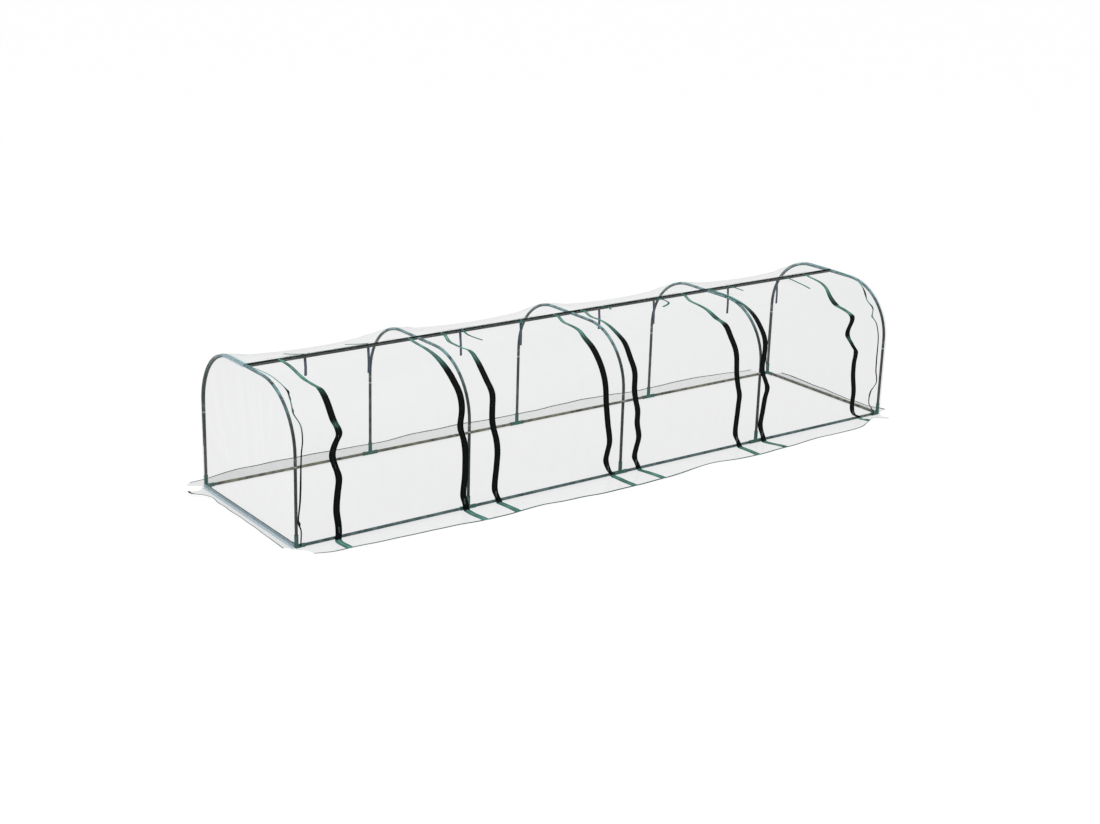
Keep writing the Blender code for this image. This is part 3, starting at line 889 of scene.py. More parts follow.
def attach(piece: Object, body: str, slot: str, *nodes: str) -> Object:
    """Puts a piece on its body and hides the nodes that it stands for.

    Args:
        piece: The finished piece.
        body: The body that it moves with.
        slot: The record's material slot; not used.
        nodes: The CAD nodes that it replaces.

    Returns:
        The piece.
    """
    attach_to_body(piece, body)
    if nodes:
        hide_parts(*nodes)
    LOG.info("%s on %s", piece.name, body)
    return piece


def standing(at: Vector, way: Vector) -> Matrix:
    """The place of a shape whose own Z is to look along a way."""
    return Matrix.Translation(at) @ way.to_track_quat("Z", "Y").to_matrix().to_4x4()


def way_out(side: Side) -> Vector:
    """The way that the roof and long wall of a side look, taken together."""
    return Vector((0.0, side.value, 1.0))


def face_up(place: float, upward: float) -> float:
    """How much sheen a tape shows anywhere: all that it has where it lies face up."""
    return ease(0.45, 0.85, upward)


@dataclass
class Patch:
    """A grid laid on the cover: film, tape or binding.

    Args:
        name: The piece's name.
        along: Places of the grid's first direction.
        across: Places of its second direction, as shares from 0 to 1.
        spot: Gives the point for a place along and a share across.
        width: The real width across, for the weave's scale.
        out: Roughly the way that its outer face looks.
        haze: Gives how dense the film looks at a place along and a share across.
        tone: Gives how much of its sheen a tape shows, from its place along and how far it faces up.
    """

    name: str
    along: Sequence[float]
    across: Sequence[float]
    spot: Spot
    width: float
    out: Vector
    haze: Optional[Shade] = None
    tone: Shade = face_up

    def build(self, finish: Material, depth: float = 0.0, offset: float = 1.0) -> Object:
        """Builds the surface, with its UV maps and how far it lies face up.

        Args:
            finish: Its material.
            depth: Its thickness, or 0 for one layer.
            offset: Where the thickness goes.

        Returns:
            The new piece.
        """
        shape = bmesh.new()
        rows, columns = len(self.along) - 1, len(self.across) - 1
        bmesh.ops.create_grid(shape, x_segments=columns, y_segments=rows, size=0.5)
        cloth = shape.loops.layers.uv.new("cloth")
        share = shape.loops.layers.uv.new("share")
        up = shape.verts.layers.float.new("face_up")
        dense = shape.verts.layers.float.new("haze") if self.haze else None
        places = []
        for vertex in shape.verts:
            i = round((vertex.co.x + 0.5) * columns)
            j = round((vertex.co.y + 0.5) * rows)
            places.append((self.across[i], self.along[j]))
            vertex.co = self.spot(self.along[j], self.across[i])
            if dense:
                vertex[dense] = self.haze(self.along[j], self.across[i])
        shape.normal_update()
        if sum(face.normal.dot(self.out) * face.calc_area() for face in shape.faces) < 0:
            bmesh.ops.reverse_faces(shape, faces=shape.faces)
            shape.normal_update()
        for vertex in shape.verts:
            vertex[up] = self.tone(places[vertex.index][1], vertex.normal.z)
        for face in shape.faces:
            for loop in face.loops:
                across, along = places[loop.vert.index]
                loop[cloth].uv = (across * self.width, along)
                loop[share].uv = (across, along)
        return new_piece(self.name, shape, finish, 60.0, depth, offset)


def film_runs(tunnel: Tunnel, step: float = 0.02) -> list[float]:
    """Places down the film from the ridge to the hem, closer round the toe.

    Args:
        tunnel: The tunnel.
        step: How far apart they are at most.

    Returns:
        The runs.
    """
    runs = spread(0.0, tunnel.flat, step) + spread(tunnel.flat, tunnel.shoulder, step)[1:]
    runs += spread(tunnel.shoulder, tunnel.ground, step)[1:]
    runs += spread(tunnel.ground, tunnel.toe_end, step / 4)[1:]
    return runs + spread(tunnel.toe_end, tunnel.hem_run, step)[1:]


@dataclass
class Settling:
    """Lets a pinned sheet of film settle under its own weight, and keeps how it then lies."""

    slack: float = 0.005
    frames: int = 16
    cap: float = 0.011
    crease_mm: float = 2.0

    def run(self, piece: Object, held: Callable[[Vector], float]) -> None:
        """Simulates the sheet and writes the settled shape into its mesh.

        Args:
            piece: An open sheet.
            held: How firmly each place is held, from 0, free, to 1, fixed.
        """
        starts = [vertex.co.copy() for vertex in piece.data.vertices]
        holds = [min(max(held(co), 0.0), 1.0) for co in starts]
        for vertex, co, hold in zip(piece.data.vertices, starts, holds):
            crease = noise.noise(Vector((co.x * 7, co.y * 7, co.z * 7)))
            vertex.co = co + vertex.normal * crease * self.crease_mm * MM * (1 - hold)
        group = piece.vertex_groups.new(name="held")
        for index, hold in enumerate(holds):
            group.add([index], hold, "REPLACE")
        self.simulate(piece, group.name)
        for vertex, co, hold in zip(piece.data.vertices, starts, holds):
            shift = vertex.co - co
            if shift.length > self.cap:
                shift *= self.cap / shift.length
            vertex.co = co + shift * (1 - hold)
        piece.vertex_groups.clear()

    def simulate(self, piece: Object, group: str) -> None:
        """Runs Blender's cloth over a few frames and leaves the last one in the mesh.

        Args:
            piece: The sheet.
            group: The vertex group that says how firmly each place is held.
        """
        scene = bpy.context.scene
        cloth = piece.modifiers.new("settling", "CLOTH")
        for key, value in {
            "quality": 4, "mass": 0.08, "tension_stiffness": 12, "compression_stiffness": 12,
            "shear_stiffness": 6, "bending_stiffness": 0.3, "air_damping": 2.0,
            "vertex_group_mass": group, "pin_stiffness": 1.0, "shrink_min": -self.slack,
        }.items():
            setattr(cloth.settings, key, value)
        cloth.collision_settings.use_collision = False
        cloth.point_cache.frame_start = 1
        cloth.point_cache.frame_end = self.frames
        for frame_number in range(1, self.frames + 1):
            scene.frame_set(frame_number)
            bpy.context.view_layer.update()
        graph = bpy.context.evaluated_depsgraph_get()
        settled = piece.evaluated_get(graph).data
        places = [vertex.co.copy() for vertex in settled.vertices]
        piece.modifiers.remove(cloth)
        scene.frame_set(1)
        for vertex, co in zip(piece.data.vertices, places):
            vertex.co = co


@dataclass
class TubeFrame:
    """The steel frame: hoops, legs, rails and ridge tubes, and the moulded connectors at its foot."""

    tunnel: Tunnel
    finishes: Finishes
    wall: float = 0.0006
    sides: int = 24
    bend_steps: int = 14
    spigot: float = 0.042
    ridge_spigot: float = 0.04
    swage: float = 0.003
    taper: float = 0.0005
    seat: float = 0.0123
    sleeve: float = 0.0104
    lip: float = 0.0006
    lip_depth: float = 0.005
    rail_socket: float = 0.045
    leg_socket: float = 0.06
    bore_slack: float = 0.0002
    grain: float = 0.0011

    def build(self) -> None:
        """Builds every piece of the frame."""
        for number, x in enumerate(self.tunnel.hoops, 1):
            self.hoop_top(number, x)
            for side in Side:
                self.leg(number, x, side)
        self.rails()
        self.connectors()

    def sweep(self, shape: Mesh, points: Sequence[Vector], radii: Sequence[float]) -> None:
        """Draws an open tube along points by extruding a ring.

        Args:
            shape: The bmesh that gets the tube.
            points: The centre line.
            radii: The outer radius at each point.
        """
        heading = (points[1] - points[0]).normalized()
        ring = bmesh.ops.create_circle(
            shape, segments=self.sides, radius=radii[0], matrix=standing(points[0], heading)
        )["verts"]
        edges = list({edge for vertex in ring for edge in vertex.link_edges})
        for index in range(1, len(points)):
            grown = bmesh.ops.extrude_edge_only(shape, edges=edges)["geom"]
            ring = [item for item in grown if isinstance(item, bmesh.types.BMVert)]
            edges = [item for item in grown if isinstance(item, bmesh.types.BMEdge)]
            edges = [edge for edge in edges if all(vertex in set(ring) for vertex in edge.verts)]
            onward = points[min(index + 1, len(points) - 1)] - points[index - 1]
            swing = heading.rotation_difference(onward.normalized())
            heading = onward.normalized()
            centre = points[index - 1]
            bmesh.ops.rotate(shape, verts=ring, cent=centre, matrix=swing.to_matrix())
            bmesh.ops.translate(shape, verts=ring, vec=points[index] - centre)
            size = radii[index] / radii[index - 1]
            if size != 1.0:
                space = Matrix.Translation(-points[index])
                bmesh.ops.scale(shape, verts=ring, vec=(size,) * 3, space=space)
        bmesh.ops.recalc_face_normals(shape, faces=shape.faces)

    def tube(
        self,
        name: str,
        points: Sequence[Vector],
        radii: Optional[Sequence[float]] = None,
        bare: Optional[Callable[[Vector], float]] = None,
    ) -> Object:
        """Makes a thin-walled tube and stands it for the node of its name.

        Args:
            name: The CAD node's name.
            points: The centre line.
            radii: The outer radius at each point, or the tube's own all along.
            bare: How bare of paint a place is, from 0 to 1.

        Returns:
            The new piece.
        """
        shape = bmesh.new()
        self.sweep(shape, points, radii or [self.tunnel.tube] * len(points))
        worn = shape.verts.layers.float.new("bare")
        highlight_and_front_tint = shape.verts.layers.float.new("highlight_and_front_tint")
        dust = shape.verts.layers.float.new("dust")
        shape.normal_update()
        roof = self.tunnel.ridge_z - 0.6 * self.tunnel.bend_radius
        for vertex in shape.verts:
            vertex[worn] = bare(vertex.co) if bare else 0.0
            # Painted highlight: pale where the roof tubes face up, away from the ridge line; a paler tint
            # low on the front tubes.
            over = ease(-0.6, 0.2, vertex.normal.z) * ease(roof, self.tunnel.ridge_z, vertex.co.z)
            over *= ease(0.015, 0.05, abs(vertex.co.y))
            front_rail = 0.35 * ease(0.06, 0.03, vertex.co.z) * ease(-0.3, -0.45, vertex.co.y)
            vertex[highlight_and_front_tint] = max(over, front_rail)
            far = max(ease(0.3, 0.45, vertex.co.y), ease(1.95, 1.97, vertex.co.x))
            vertex[dust] = far * (0.25 * ease(0.5, 0.05, vertex.co.z) + 0.6 * ease(0.06, 0.03, vertex.co.z))
        piece = new_piece(f"{name}_tube", shape, self.finishes.steel, depth=self.wall, offset=-1.0)
        return attach(piece, "frame", "painted_tube", name)

    def hoop_top(self, number: int, x: float) -> None:
        """One bent top, with the spigots that the ridge tubes push on to and a crimp above each leg.

        Args:
            number: The hoop, from 1 at the left.
            x: Its place along the tunnel.
        """
        t = self.tunnel
        crimp = t.leg_top + self.spigot - 6 * MM
        half = [
            (t.flat + t.bend_radius * math.sin(angle), t.bend_z + t.bend_radius * math.cos(angle), 0.0)
            for angle in (math.pi / 2 * step / self.bend_steps for step in range(self.bend_steps + 1))
        ]
        notch = [(0.0, 0.0), (1.5 * MM, 0.45 * MM), (3 * MM, 0.0)]
        half += [(t.half_width, crimp - along, dent) for along, dent in notch]
        half += [(t.half_width, t.leg_top + rise, 0.0) for rise in (4 * MM, 2.5 * MM, 1.2 * MM, 0.0)]
        points = [Vector((x, -reach, height)) for reach, height, _ in reversed(half)]
        points += [Vector((x, reach, height)) for reach, height, _ in half]
        radii = [t.tube - dent for _, _, dent in (*reversed(half), *half)]

        def bare(co: Vector) -> float:
            """Bare at the mouth and in the crimp."""
            end = 1 - ease(t.leg_top + 0.5 * MM, t.leg_top + 2.5 * MM, co.z)
            return max(end, 0.7 * bump_at(co.z, crimp - 1.5 * MM, 1.2 * MM))

        self.tube(f"hoop_top_{number}", points, radii, bare)
        for end in End:
            if x == t.hoops[0 if end is End.LEFT else -1]:
                continue
            shape = bmesh.new()
            start = Vector((x + end.value * (t.tube - t.gap), 0, t.ridge_z))
            reach = Vector((end.value * self.ridge_spigot, 0, 0))
            slim = t.tube - self.wall - t.gap
            self.sweep(shape, [start, start + reach * 0.96, start + reach], [slim, slim, slim - self.taper])
            name = f"ridge_spigot_{number}_{end.word}"
            spigot = new_piece(name, shape, self.finishes.steel, depth=self.wall, offset=-1.0)
            attach(spigot, "frame", "painted_tube")

    def leg(self, number: int, x: float, side: Side) -> None:
        """One upright, swaged at its top to go up into the hoop.

        Args:
            number: The hoop that it stands under.
            x: Its place along the tunnel.
            side: The front or the back.
        """
        t = self.tunnel
        shoulder, foot = t.leg_top - t.gap, t.rail_z + self.seat
        slim = t.tube - self.wall - t.gap
        tip = t.leg_top + self.spigot
        steps = [
            (t.tube, foot), (t.tube, foot + 0.05), (t.tube, (foot + shoulder) / 2),
            (t.tube, shoulder - self.swage - 4 * MM), (t.tube, shoulder - self.swage),
            (slim, shoulder), (slim, tip - 1 * MM), (slim - self.taper, tip),
        ]
        points = [Vector((x, side.value * t.half_width, height)) for _, height in steps]

        def bare(co: Vector) -> float:
            """Mostly bare above the swage."""
            return 0.8 * ease(shoulder - self.swage - 2 * MM, shoulder - self.swage, co.z)

        self.tube(f"{side.word}_leg_{number}", points, [radius for radius, _ in steps], bare)

    def rails(self) -> None:
        """Ground rails along both sides and across both ends, and the ridge tubes."""
        t = self.tunnel
        for number, (left, right) in enumerate(zip(t.hoops, t.hoops[1:]), 1):
            places = spread(left + self.seat, right - self.seat, 0.25)
            for side in Side:
                line = [Vector((x, side.value * t.half_width, t.rail_z)) for x in places]
                self.tube(f"{side.word}_rail_{number}", line)
            butt = t.tube + t.gap
            start, end = left + butt, right - butt
            places = [start, start + 4 * MM, *spread(left + 0.05, right - 0.05, 0.3), end - 4 * MM, end]

            def bare(co: Vector, start: float = start, end: float = end) -> float:
                """Bare at both cut ends."""
                return 1 - ease(0.5 * MM, 2.5 * MM, min(co.x - start, end - co.x))

            self.tube(f"ridge_tube_{number}", [Vector((x, 0, t.ridge_z)) for x in places], bare=bare)
        reach = t.half_width - self.seat
        for end, x in ((End.LEFT, t.hoops[0]), (End.RIGHT, t.hoops[-1])):
            line = [Vector((x, y, t.rail_z)) for y in spread(-reach, reach, 0.25)]
            self.tube(f"end_rail_{end.word}", line)

    def rod(self, shape: Mesh, middle: Vector, way: Vector, radius: float, length: float) -> None:
        """Adds a round rod to a mesh.

        Args:
            shape: The mesh.
            middle: The rod's middle.
            way: Its direction.
            radius: Its radius.
            length: Its length.
        """
        bmesh.ops.create_cone(
            shape, cap_ends=True, segments=32, radius1=radius, radius2=radius, depth=length,
            matrix=standing(middle, way),
        )

    def connector(self, name: str, centre: Vector, arms: Sequence[tuple[Vector, float]]) -> None:
        """A moulded connector: lipped sleeves run into a rounded hub, bored for the tubes and flat below.

        Args:
            name: The CAD node's name.
            centre: Where its arms meet.
            arms: The direction and length of each.
        """
        lipped = self.sleeve + self.lip
        shape, bores, flat = bmesh.new(), bmesh.new(), bmesh.new()
        bmesh.ops.create_icosphere(shape, subdivisions=3, radius=lipped, matrix=Matrix.Translation(centre))
        for way, length in arms:
            for radius, low in ((self.sleeve, 0.0), (lipped, length - self.lip_depth)):
                self.rod(shape, centre + way * (low + length) / 2, way, radius, length - low)
            depth = length + 0.02 - self.seat
            bore = self.tunnel.tube + self.bore_slack
            self.rod(bores, centre + way * (self.seat + depth / 2), way, bore, depth)
        piece = new_piece(f"{name}_moulding", shape, self.finishes.plastic, smooth=50.0)
        remesh = piece.modifiers.new("flow", "REMESH")
        remesh.mode, remesh.voxel_size = "VOXEL", self.grain
        smooth = piece.modifiers.new("fillets", "SMOOTH")
        smooth.factor, smooth.iterations = 0.5, 5
        settle_modifiers(piece)
        cutter = new_piece(f"{name}_bores", bores, self.finishes.plastic)
        cut = piece.modifiers.new("bores", "BOOLEAN")
        cut.operation, cut.solver, cut.object, cut.use_self = "DIFFERENCE", "EXACT", cutter, False
        settle_modifiers(piece)
        bpy.data.objects.remove(cutter)
        flat.from_mesh(piece.data)
        geometry = flat.verts[:] + flat.edges[:] + flat.faces[:]
        ground = (0, 0, self.tunnel.gap)
        bmesh.ops.bisect_plane(flat, geom=geometry, plane_co=ground, plane_no=(0, 0, -1), clear_outer=True)
        bmesh.ops.holes_fill(flat, edges=[edge for edge in flat.edges if edge.is_boundary])
        flat.to_mesh(piece.data)
        flat.free()
        piece.data.shade_smooth()
        piece.data.set_sharp_from_angle(angle=math.radians(50))
        attach(piece, "frame", "moulded_plastic", name)

    def connectors(self) -> None:
        """Four corners and six tees."""
        t = self.tunnel
        up, along = (Vector((0, 0, 1)), self.leg_socket), Vector((1, 0, 0))
        for side in Side:
            y = side.value * t.half_width
            inward = (Vector((0, -side.value, 0)), self.rail_socket)
            for end, x in ((End.LEFT, t.hoops[0]), (End.RIGHT, t.hoops[-1])):
                arms = [up, (along * -end.value, self.rail_socket), inward]
                self.connector(f"corner_{side.word}_{end.word}", Vector((x, y, t.rail_z)), arms)
            for number, x in list(enumerate(t.hoops, 1))[1:-1]:
                arms = [up, (along, self.rail_socket), (-along, self.rail_socket)]
                self.connector(f"base_tee_{side.word}_{number}", Vector((x, y, t.rail_z)), arms)


@dataclass
class Cover:
    """The film: the back sheet, two end panels, five front strips and four doors, with their bindings."""

    tunnel: Tunnel
    finishes: Finishes
    settling: Settling = field(default_factory=Settling)
    grid: float = 0.02
    zip_gap: float = 0.005
    binding: float = 0.008
    binding_depth: float = 0.0008
    binding_lift: float = 0.0002
    end_binding: float = 0.0176
    ridge_half: float = 0.0095
    ridge_lift: float = 0.0012
    ridge_depth: float = 0.0007
    hinge_gap: float = 0.0026
    seam: float = 0.007
    seam_lift: float = 0.001
    seam_depth: float = 0.0008
    weld: float = 0.026
    weld_drop: float = 0.017
    weld_lift: float = 0.0009
    foot_weld: float = 0.034
    haze: float = 0.19
    far_haze: float = 0.025
    roof_haze: float = 0.17
    skirt_haze: float = 0.13
    end_skirt_haze: float = 0.24
    doubled: float = 0.12
    flare: float = 0.06
    tuck: float = 0.03
    corner_cut: float = 0.05
    small_cut: float = 0.008

    def build(self) -> None:
        """Builds every sheet with the pieces that are sewn to it."""
        self.back()
        for end in End:
            self.end_panel(end)
        for number in range(1, len(self.tunnel.hoops) + 1):
            self.strip(number)
        for number in range(1, len(self.tunnel.hoops)):
            self.door(number)

    def held(self, near_zips: Sequence[int]) -> Callable[[Vector], float]:
        """Says how firmly the film of the roof and long walls is held.

        Args:
            near_zips: The zips that hold it.

        Returns:
            A function of a point, which gives 1 on the frame, at the zips and on the ground.
        """
        t = self.tunnel

        def hold(co: Vector) -> float:
            """The firmest hold that anything near has on a point.

            Args:
                co: The point.

            Returns:
                A share from 0, free, to 1, fixed.
            """
            firm = max(1 - ease(0.02, 0.09, co.z), 1 - ease(0.012, 0.06, abs(co.y)))
            for hoop in t.hoops:
                firm = max(firm, 1 - ease(0.012, 0.08, abs(co.x - hoop)))
            run = t.run_of(co)
            for number in near_zips:
                firm = max(firm, 1 - ease(0.02, 0.08, abs(co.x - t.zip_x(number, run))))
            return firm

        return hold

    def sheet(self, name: str, side: Side, left: Edge, right: Edge) -> Object:
        """A sheet of film between two edges, from the ridge to the hem.

        Args:
            name: The piece's name.
            side: The front or the back.
            left: The left edge's x at each run.
            right: The right edge's x at each run.

        Returns:
            The open sheet.
        """
        t = self.tunnel
        middle = (t.flat + t.shoulder) / 2
        width = right(middle) - left(middle)

        def spot(run: float, share: float) -> Vector:
            """A point of the sheet."""
            return t.point(left(run) + (right(run) - left(run)) * share, run, side, t.gap)

        def haze(run: float, share: float) -> float:
            """The density: even at the front, and by region at the back.

            Args:
                run: The way along the film from the ridge.
                share: The way from the left edge to the right.

            Returns:
                How dense the film looks.
            """
            if side is Side.FRONT:
                return self.haze
            roof = self.roof_haze * (1 - ease(0.15, 0.45, run)) * (0.85 + 0.15 * abs(2 * share - 1))
            skirt = self.skirt_haze + self.doubled * (1 - ease(0.0, 0.55, share))
            return self.far_haze + roof + (skirt - self.far_haze) * ease(t.ground, t.toe_end, run)

        across = spread(0.0, 1.0, self.grid / width)
        runs = film_runs(t, self.grid)
        return Patch(name, runs, across, spot, width, way_out(side), haze).build(self.finishes.film)

    def hem(self, name: str, side: Side, ends: tuple[float, float], body: str) -> Object:
        """The binding folded over a stretch of hem.

        Args:
            name: The piece's name.
            side: The front or the back.
            ends: Its lowest and highest x.
            body: The body that it moves with.

        Returns:
            The binding.
        """
        t = self.tunnel
        low, high = t.hem_run - self.binding, t.hem_run + 0.3 * MM

        def spot(x: float, share: float) -> Vector:
            """A point of the binding."""
            return t.point(x, low + (high - low) * share, side, self.binding_lift)

        patch = Patch(name, spread(*ends, 0.015), spread(0.0, 1.0, 0.25), spot, high - low, way_out(side))
        return attach(patch.build(self.finishes.binding, self.binding_depth), body, "hem_binding")

    def ridge(self, name: str, side: Side, ends: tuple[float, float], body: str) -> Object:
        """Half of the dark seam along the ridge.

        A door's half starts just past the hinge line, so that it turns clear.

        Args:
            name: The piece's name.
            side: The front or the back.
            ends: Its lowest and highest x.
            body: The body that it moves with.

        Returns:
            The seam.
        """
        low, high = 0.0 if body == "frame" else self.hinge_gap, self.ridge_half

        def spot(x: float, share: float) -> Vector:
            """A point of the seam."""
            return self.tunnel.point(x, low + (high - low) * share, side, self.ridge_lift)

        patch = Patch(name, spread(*ends, 0.015), spread(0.0, 1.0, 0.25), spot, high - low, way_out(side))
        return attach(patch.build(self.finishes.seam, self.ridge_depth), body, "zip_tape")

    def end_seam(self, end: End, side: Side) -> Object:
        """The thin seam beside an end hoop.

        At the front it wanders and is folded over in places. At the back it keeps close.

        Args:
            end: The end of the tunnel.
            side: The front or the back.

        Returns:
            The seam.
        """
        t = self.tunnel
        # First how far in from the end it lies at each run, then its folds: run, added width and length.
        inset, folds = {
            (End.LEFT, Side.FRONT): (
                ((0.0, 0.004), (0.1, 0.014), (0.25, 0.034), (0.34, 0.05), (0.385, 0.044), (0.43, 0.036),
                 (0.47, 0.03), (0.53, 0.05), (0.6, 0.046), (0.66, 0.034), (0.9, 0.022), (1.01, 0.012),
                 (1.05, 0.026), (1.13, 0.024)),
                ((0.35, 0.006, 0.016), (0.39, 0.003, 0.01), (0.455, 0.005, 0.008), (0.85, 0.003, 0.12),
                 (1.015, 0.008, 0.01)),
            ),
            (End.RIGHT, Side.FRONT): (
                ((0.0, 0.004), (0.16, 0.015), (0.26, 0.03), (0.36, 0.055), (0.42, 0.078), (0.47, 0.064),
                 (0.52, 0.09), (0.56, 0.074), (0.66, 0.066), (0.85, 0.062), (0.93, 0.05), (0.98, 0.09),
                 (1.05, 0.1), (1.09, 0.072), (1.13, 0.05)),
                ((0.37, 0.006, 0.03), (0.46, 0.004, 0.02), (0.52, 0.006, 0.01), (0.8, 0.003, 0.12),
                 (0.99, 0.005, 0.03)),
            ),
        }.get((end, side), (((0.0, 0.004), (0.9, 0.006), (1.0, 0.016), (1.13, 0.005)), ()))

        def spot(run: float, share: float) -> Vector:
            """A point of the seam, wider where it is folded.

            Args:
                run: The way along the film from the ridge.
                share: The way across it.

            Returns:
                The point.
            """
            width = self.seam + sum(wider * bump_at(run, place, length) for place, wider, length in folds)
            x = t.end_face - 1 * MM - glide(inset, run) - width * share
            return t.point(end.value * x, run, side, self.seam_lift)

        def tone(run: float, upward: float) -> float:
            """Painted sheen: pale over the roof and at two folds."""
            pale = 0.85 * (1 - ease(0.3, 0.34, run))
            return min(pale + 0.6 * bump_at(run, 0.42, 0.03) + 0.5 * bump_at(run, 0.52, 0.04), 1.0)

        name = f"end_seam_{side.word}_{end.word}"
        runs = [run for run in film_runs(t, 0.006) if run <= t.ground]
        patch = Patch(name, runs, spread(0.0, 1.0, 0.5), spot, self.seam, way_out(side), tone=tone)
        return attach(patch.build(self.finishes.edging, self.seam_depth), "frame", "zip_tape")

    def weld_top(self, end: End) -> Object:
        """The knurled weld over an end hoop: from the end panel's edge up over the roof, behind the ridge.

        Args:
            end: The end of the tunnel.

        Returns:
            The weld.
        """
        t = self.tunnel
        face = t.end_face + self.weld_lift
        width = self.weld_drop + self.weld

        def spot(run: float, share: float) -> Vector:
            """A point of the weld, first up the end's face and then over the roof.

            Args:
                run: The way along the film from the ridge.
                share: The way across it.

            Returns:
                The point.
            """
            way = share * width
            x = end.value * min(face, face + self.weld_drop - way)
            point = t.point(x, run, Side.BACK, self.weld_lift)
            return point - Vector((0.0, 0.0, max(self.weld_drop - way, 0.0)))

        out = Vector((end.value, 0.0, 1.0))
        runs = spread(0.004, 0.23, 0.01)
        patch = Patch(f"weld_top_{end.word}", runs, spread(0.0, 1.0, 0.1), spot, width, out)
        return attach(patch.build(self.finishes.weld), "frame", "clear_film")

    def back(self) -> None:
        """The back half of the roof, the back wall and its skirt, with the seams that end there."""
        t = self.tunnel

        def left(run: float) -> float:
            """The left edge, which flares out on the ground.

            Args:
                run: The way along the film from the ridge.

            Returns:
                Its x.
            """
            share = t.skirt_share(run)
            wider = self.flare * ease(0.1, 0.6, share)
            return -(t.end_face + t.gap + wider - self.tuck * ease(0.7, 1.0, share))

        def right(run: float) -> float:
            """The right edge, with its corner cut round."""
            return t.end_face + t.gap - self.corner_cut * rounded(t.skirt_share(run))

        piece = self.sheet("back_sheet", Side.BACK, left, right)
        self.settling.run(piece, self.held(()))
        attach(piece, "frame", "clear_film", "cover_back")
        parts = [
            self.hem("hem_back", Side.BACK, (left(t.hem_run), t.end_face - self.corner_cut), "frame"),
            self.ridge("ridge_seam_back", Side.BACK, (-t.hoops[-1], t.hoops[-1]), "frame"),
        ]
        parts += [self.end_seam(end, Side.BACK) for end in End]
        parts += [self.weld_top(end) for end in End]

    def end_panel(self, end: End) -> None:
        """One end panel, its skirt, its hem and the knurled weld along its foot.

        Args:
            end: The end of the tunnel.
        """
        t = self.tunnel
        runs = [run for run in film_runs(t, self.grid) if run >= t.flat - 1e-6]
        out = Vector((end.value, 0.0, 0.2))
        panel_haze = self.haze if end is End.LEFT else self.far_haze
        weld_low = t.ground - (0.013 if end is End.LEFT else 0.004)
        weld_high = t.toe_end - 0.003

        def spot(run: float, share: float) -> Vector:
            """A point of the panel."""
            return t.end_point(2 * share - 1, run, end)

        def haze(run: float, share: float) -> float:
            """The panel's density, which changes to the skirt's over the toe."""
            return panel_haze + (self.end_skirt_haze - panel_haze) * ease(t.ground, t.toe_end, run)

        def held(co: Vector) -> float:
            """1 on the ground and on the hoop, 0 well inside it.

            Args:
                co: A point of the panel.

            Returns:
                A share from 0, free, to 1, fixed.
            """
            firm = 1 - ease(0.03, 0.12, co.z)
            inside = t.half_width - abs(co.y)
            if co.z > t.bend_z:
                inside = t.bend_radius - Vector((0.0, max(abs(co.y) - t.flat, 0.0), co.z - t.bend_z)).length
            return max(firm, 1 - ease(0.0, 0.08, inside))

        def hem_spot(place: float, share: float) -> Vector:
            """A point of the hem's binding."""
            return t.end_point(place, t.hem_run - self.end_binding * (1 - share), end, self.binding_lift)

        def weld_spot(place: float, share: float) -> Vector:
            """A point of the weld along the foot."""
            return t.end_point(place, weld_low + (weld_high - weld_low) * share, end, 0.8 * MM)

        across = spread(0.0, 1.0, self.grid / (2 * t.half_width))
        sheet = Patch(f"end_sheet_{end.word}", runs, across, spot, 2 * t.wall_reach, out, haze)
        piece = sheet.build(self.finishes.film)
        self.settling.run(piece, held)
        attach(piece, "frame", "clear_film", f"end_panel_{end.word}")
        places = spread(-1.0, 1.0, 0.03)
        hem = Patch(f"hem_{end.word}", places, spread(0.0, 1.0, 0.5), hem_spot, self.binding, out)
        places = spread(-0.97, 0.97, 0.02)
        foot = Patch(f"weld_foot_{end.word}", places, spread(0.0, 1.0, 0.1), weld_spot, self.foot_weld, out)
        parts = [
            attach(hem.build(self.finishes.binding, self.binding_depth), "frame", "hem_binding"),
            attach(foot.build(self.finishes.weld), "frame", "clear_film"),
        ]

    def front(
        self, node: str, body: str, left: Edge, right: Edge, zips: Sequence[int],
        seams: Sequence[End],
    ) -> None:
        """A strip or a door of the front, with its hem and its half of the ridge seam.

        Args:
            node: The CAD node that it stands for.
            body: The body that it moves with.
            left: The left edge's x at each run.
            right: The right edge's x at each run.
            zips: The zips that hold it while it settles, or none for a sheet that doesn't.
            seams: The ends whose seams it has.
        """
        t = self.tunnel
        piece = self.sheet(f"{node}_film", Side.FRONT, left, right)
        if zips:
            self.settling.run(piece, self.held(zips))
        attach(piece, body, "clear_film", node)
        word = node.removeprefix("front_")
        tops = (max(left(0.0), -t.hoops[-1]), min(right(0.0), t.hoops[-1]))
        parts = [
            self.hem(f"hem_{word}", Side.FRONT, (left(t.hem_run), right(t.hem_run)), body),
            self.ridge(f"ridge_seam_{word}", Side.FRONT, tops, body),
        ]
        parts += [self.end_seam(end, Side.FRONT) for end in seams]
        runs = spread(0.0, t.hem_run, self.grid)
        width = sum(right(run) - left(run) for run in runs) / len(runs)

    def strip(self, number: int) -> None:
        """One fixed strip over a hoop, between two doors or between a door and the end.

        Args:
            number: The strip, from 1 at the left.
        """
        t = self.tunnel
        last = len(t.hoops)

        def corner(run: float) -> float:
            """How far out an end strip reaches, with the corner of its skirt cut round."""
            cut = self.corner_cut if number == 1 else self.small_cut
            return t.end_face + t.gap - cut * rounded(t.skirt_share(run))

        def left(run: float) -> float:
            """The strip's left edge."""
            return -corner(run) if number == 1 else t.zip_x(2 * number - 2, run) + self.zip_gap

        def right(run: float) -> float:
            """The strip's right edge."""
            return corner(run) if number == last else t.zip_x(2 * number - 1, run) - self.zip_gap

        seams = [end for end, at in ((End.LEFT, 1), (End.RIGHT, last)) if at == number]
        self.front(f"front_strip_{number}", "frame", left, right, (), seams)

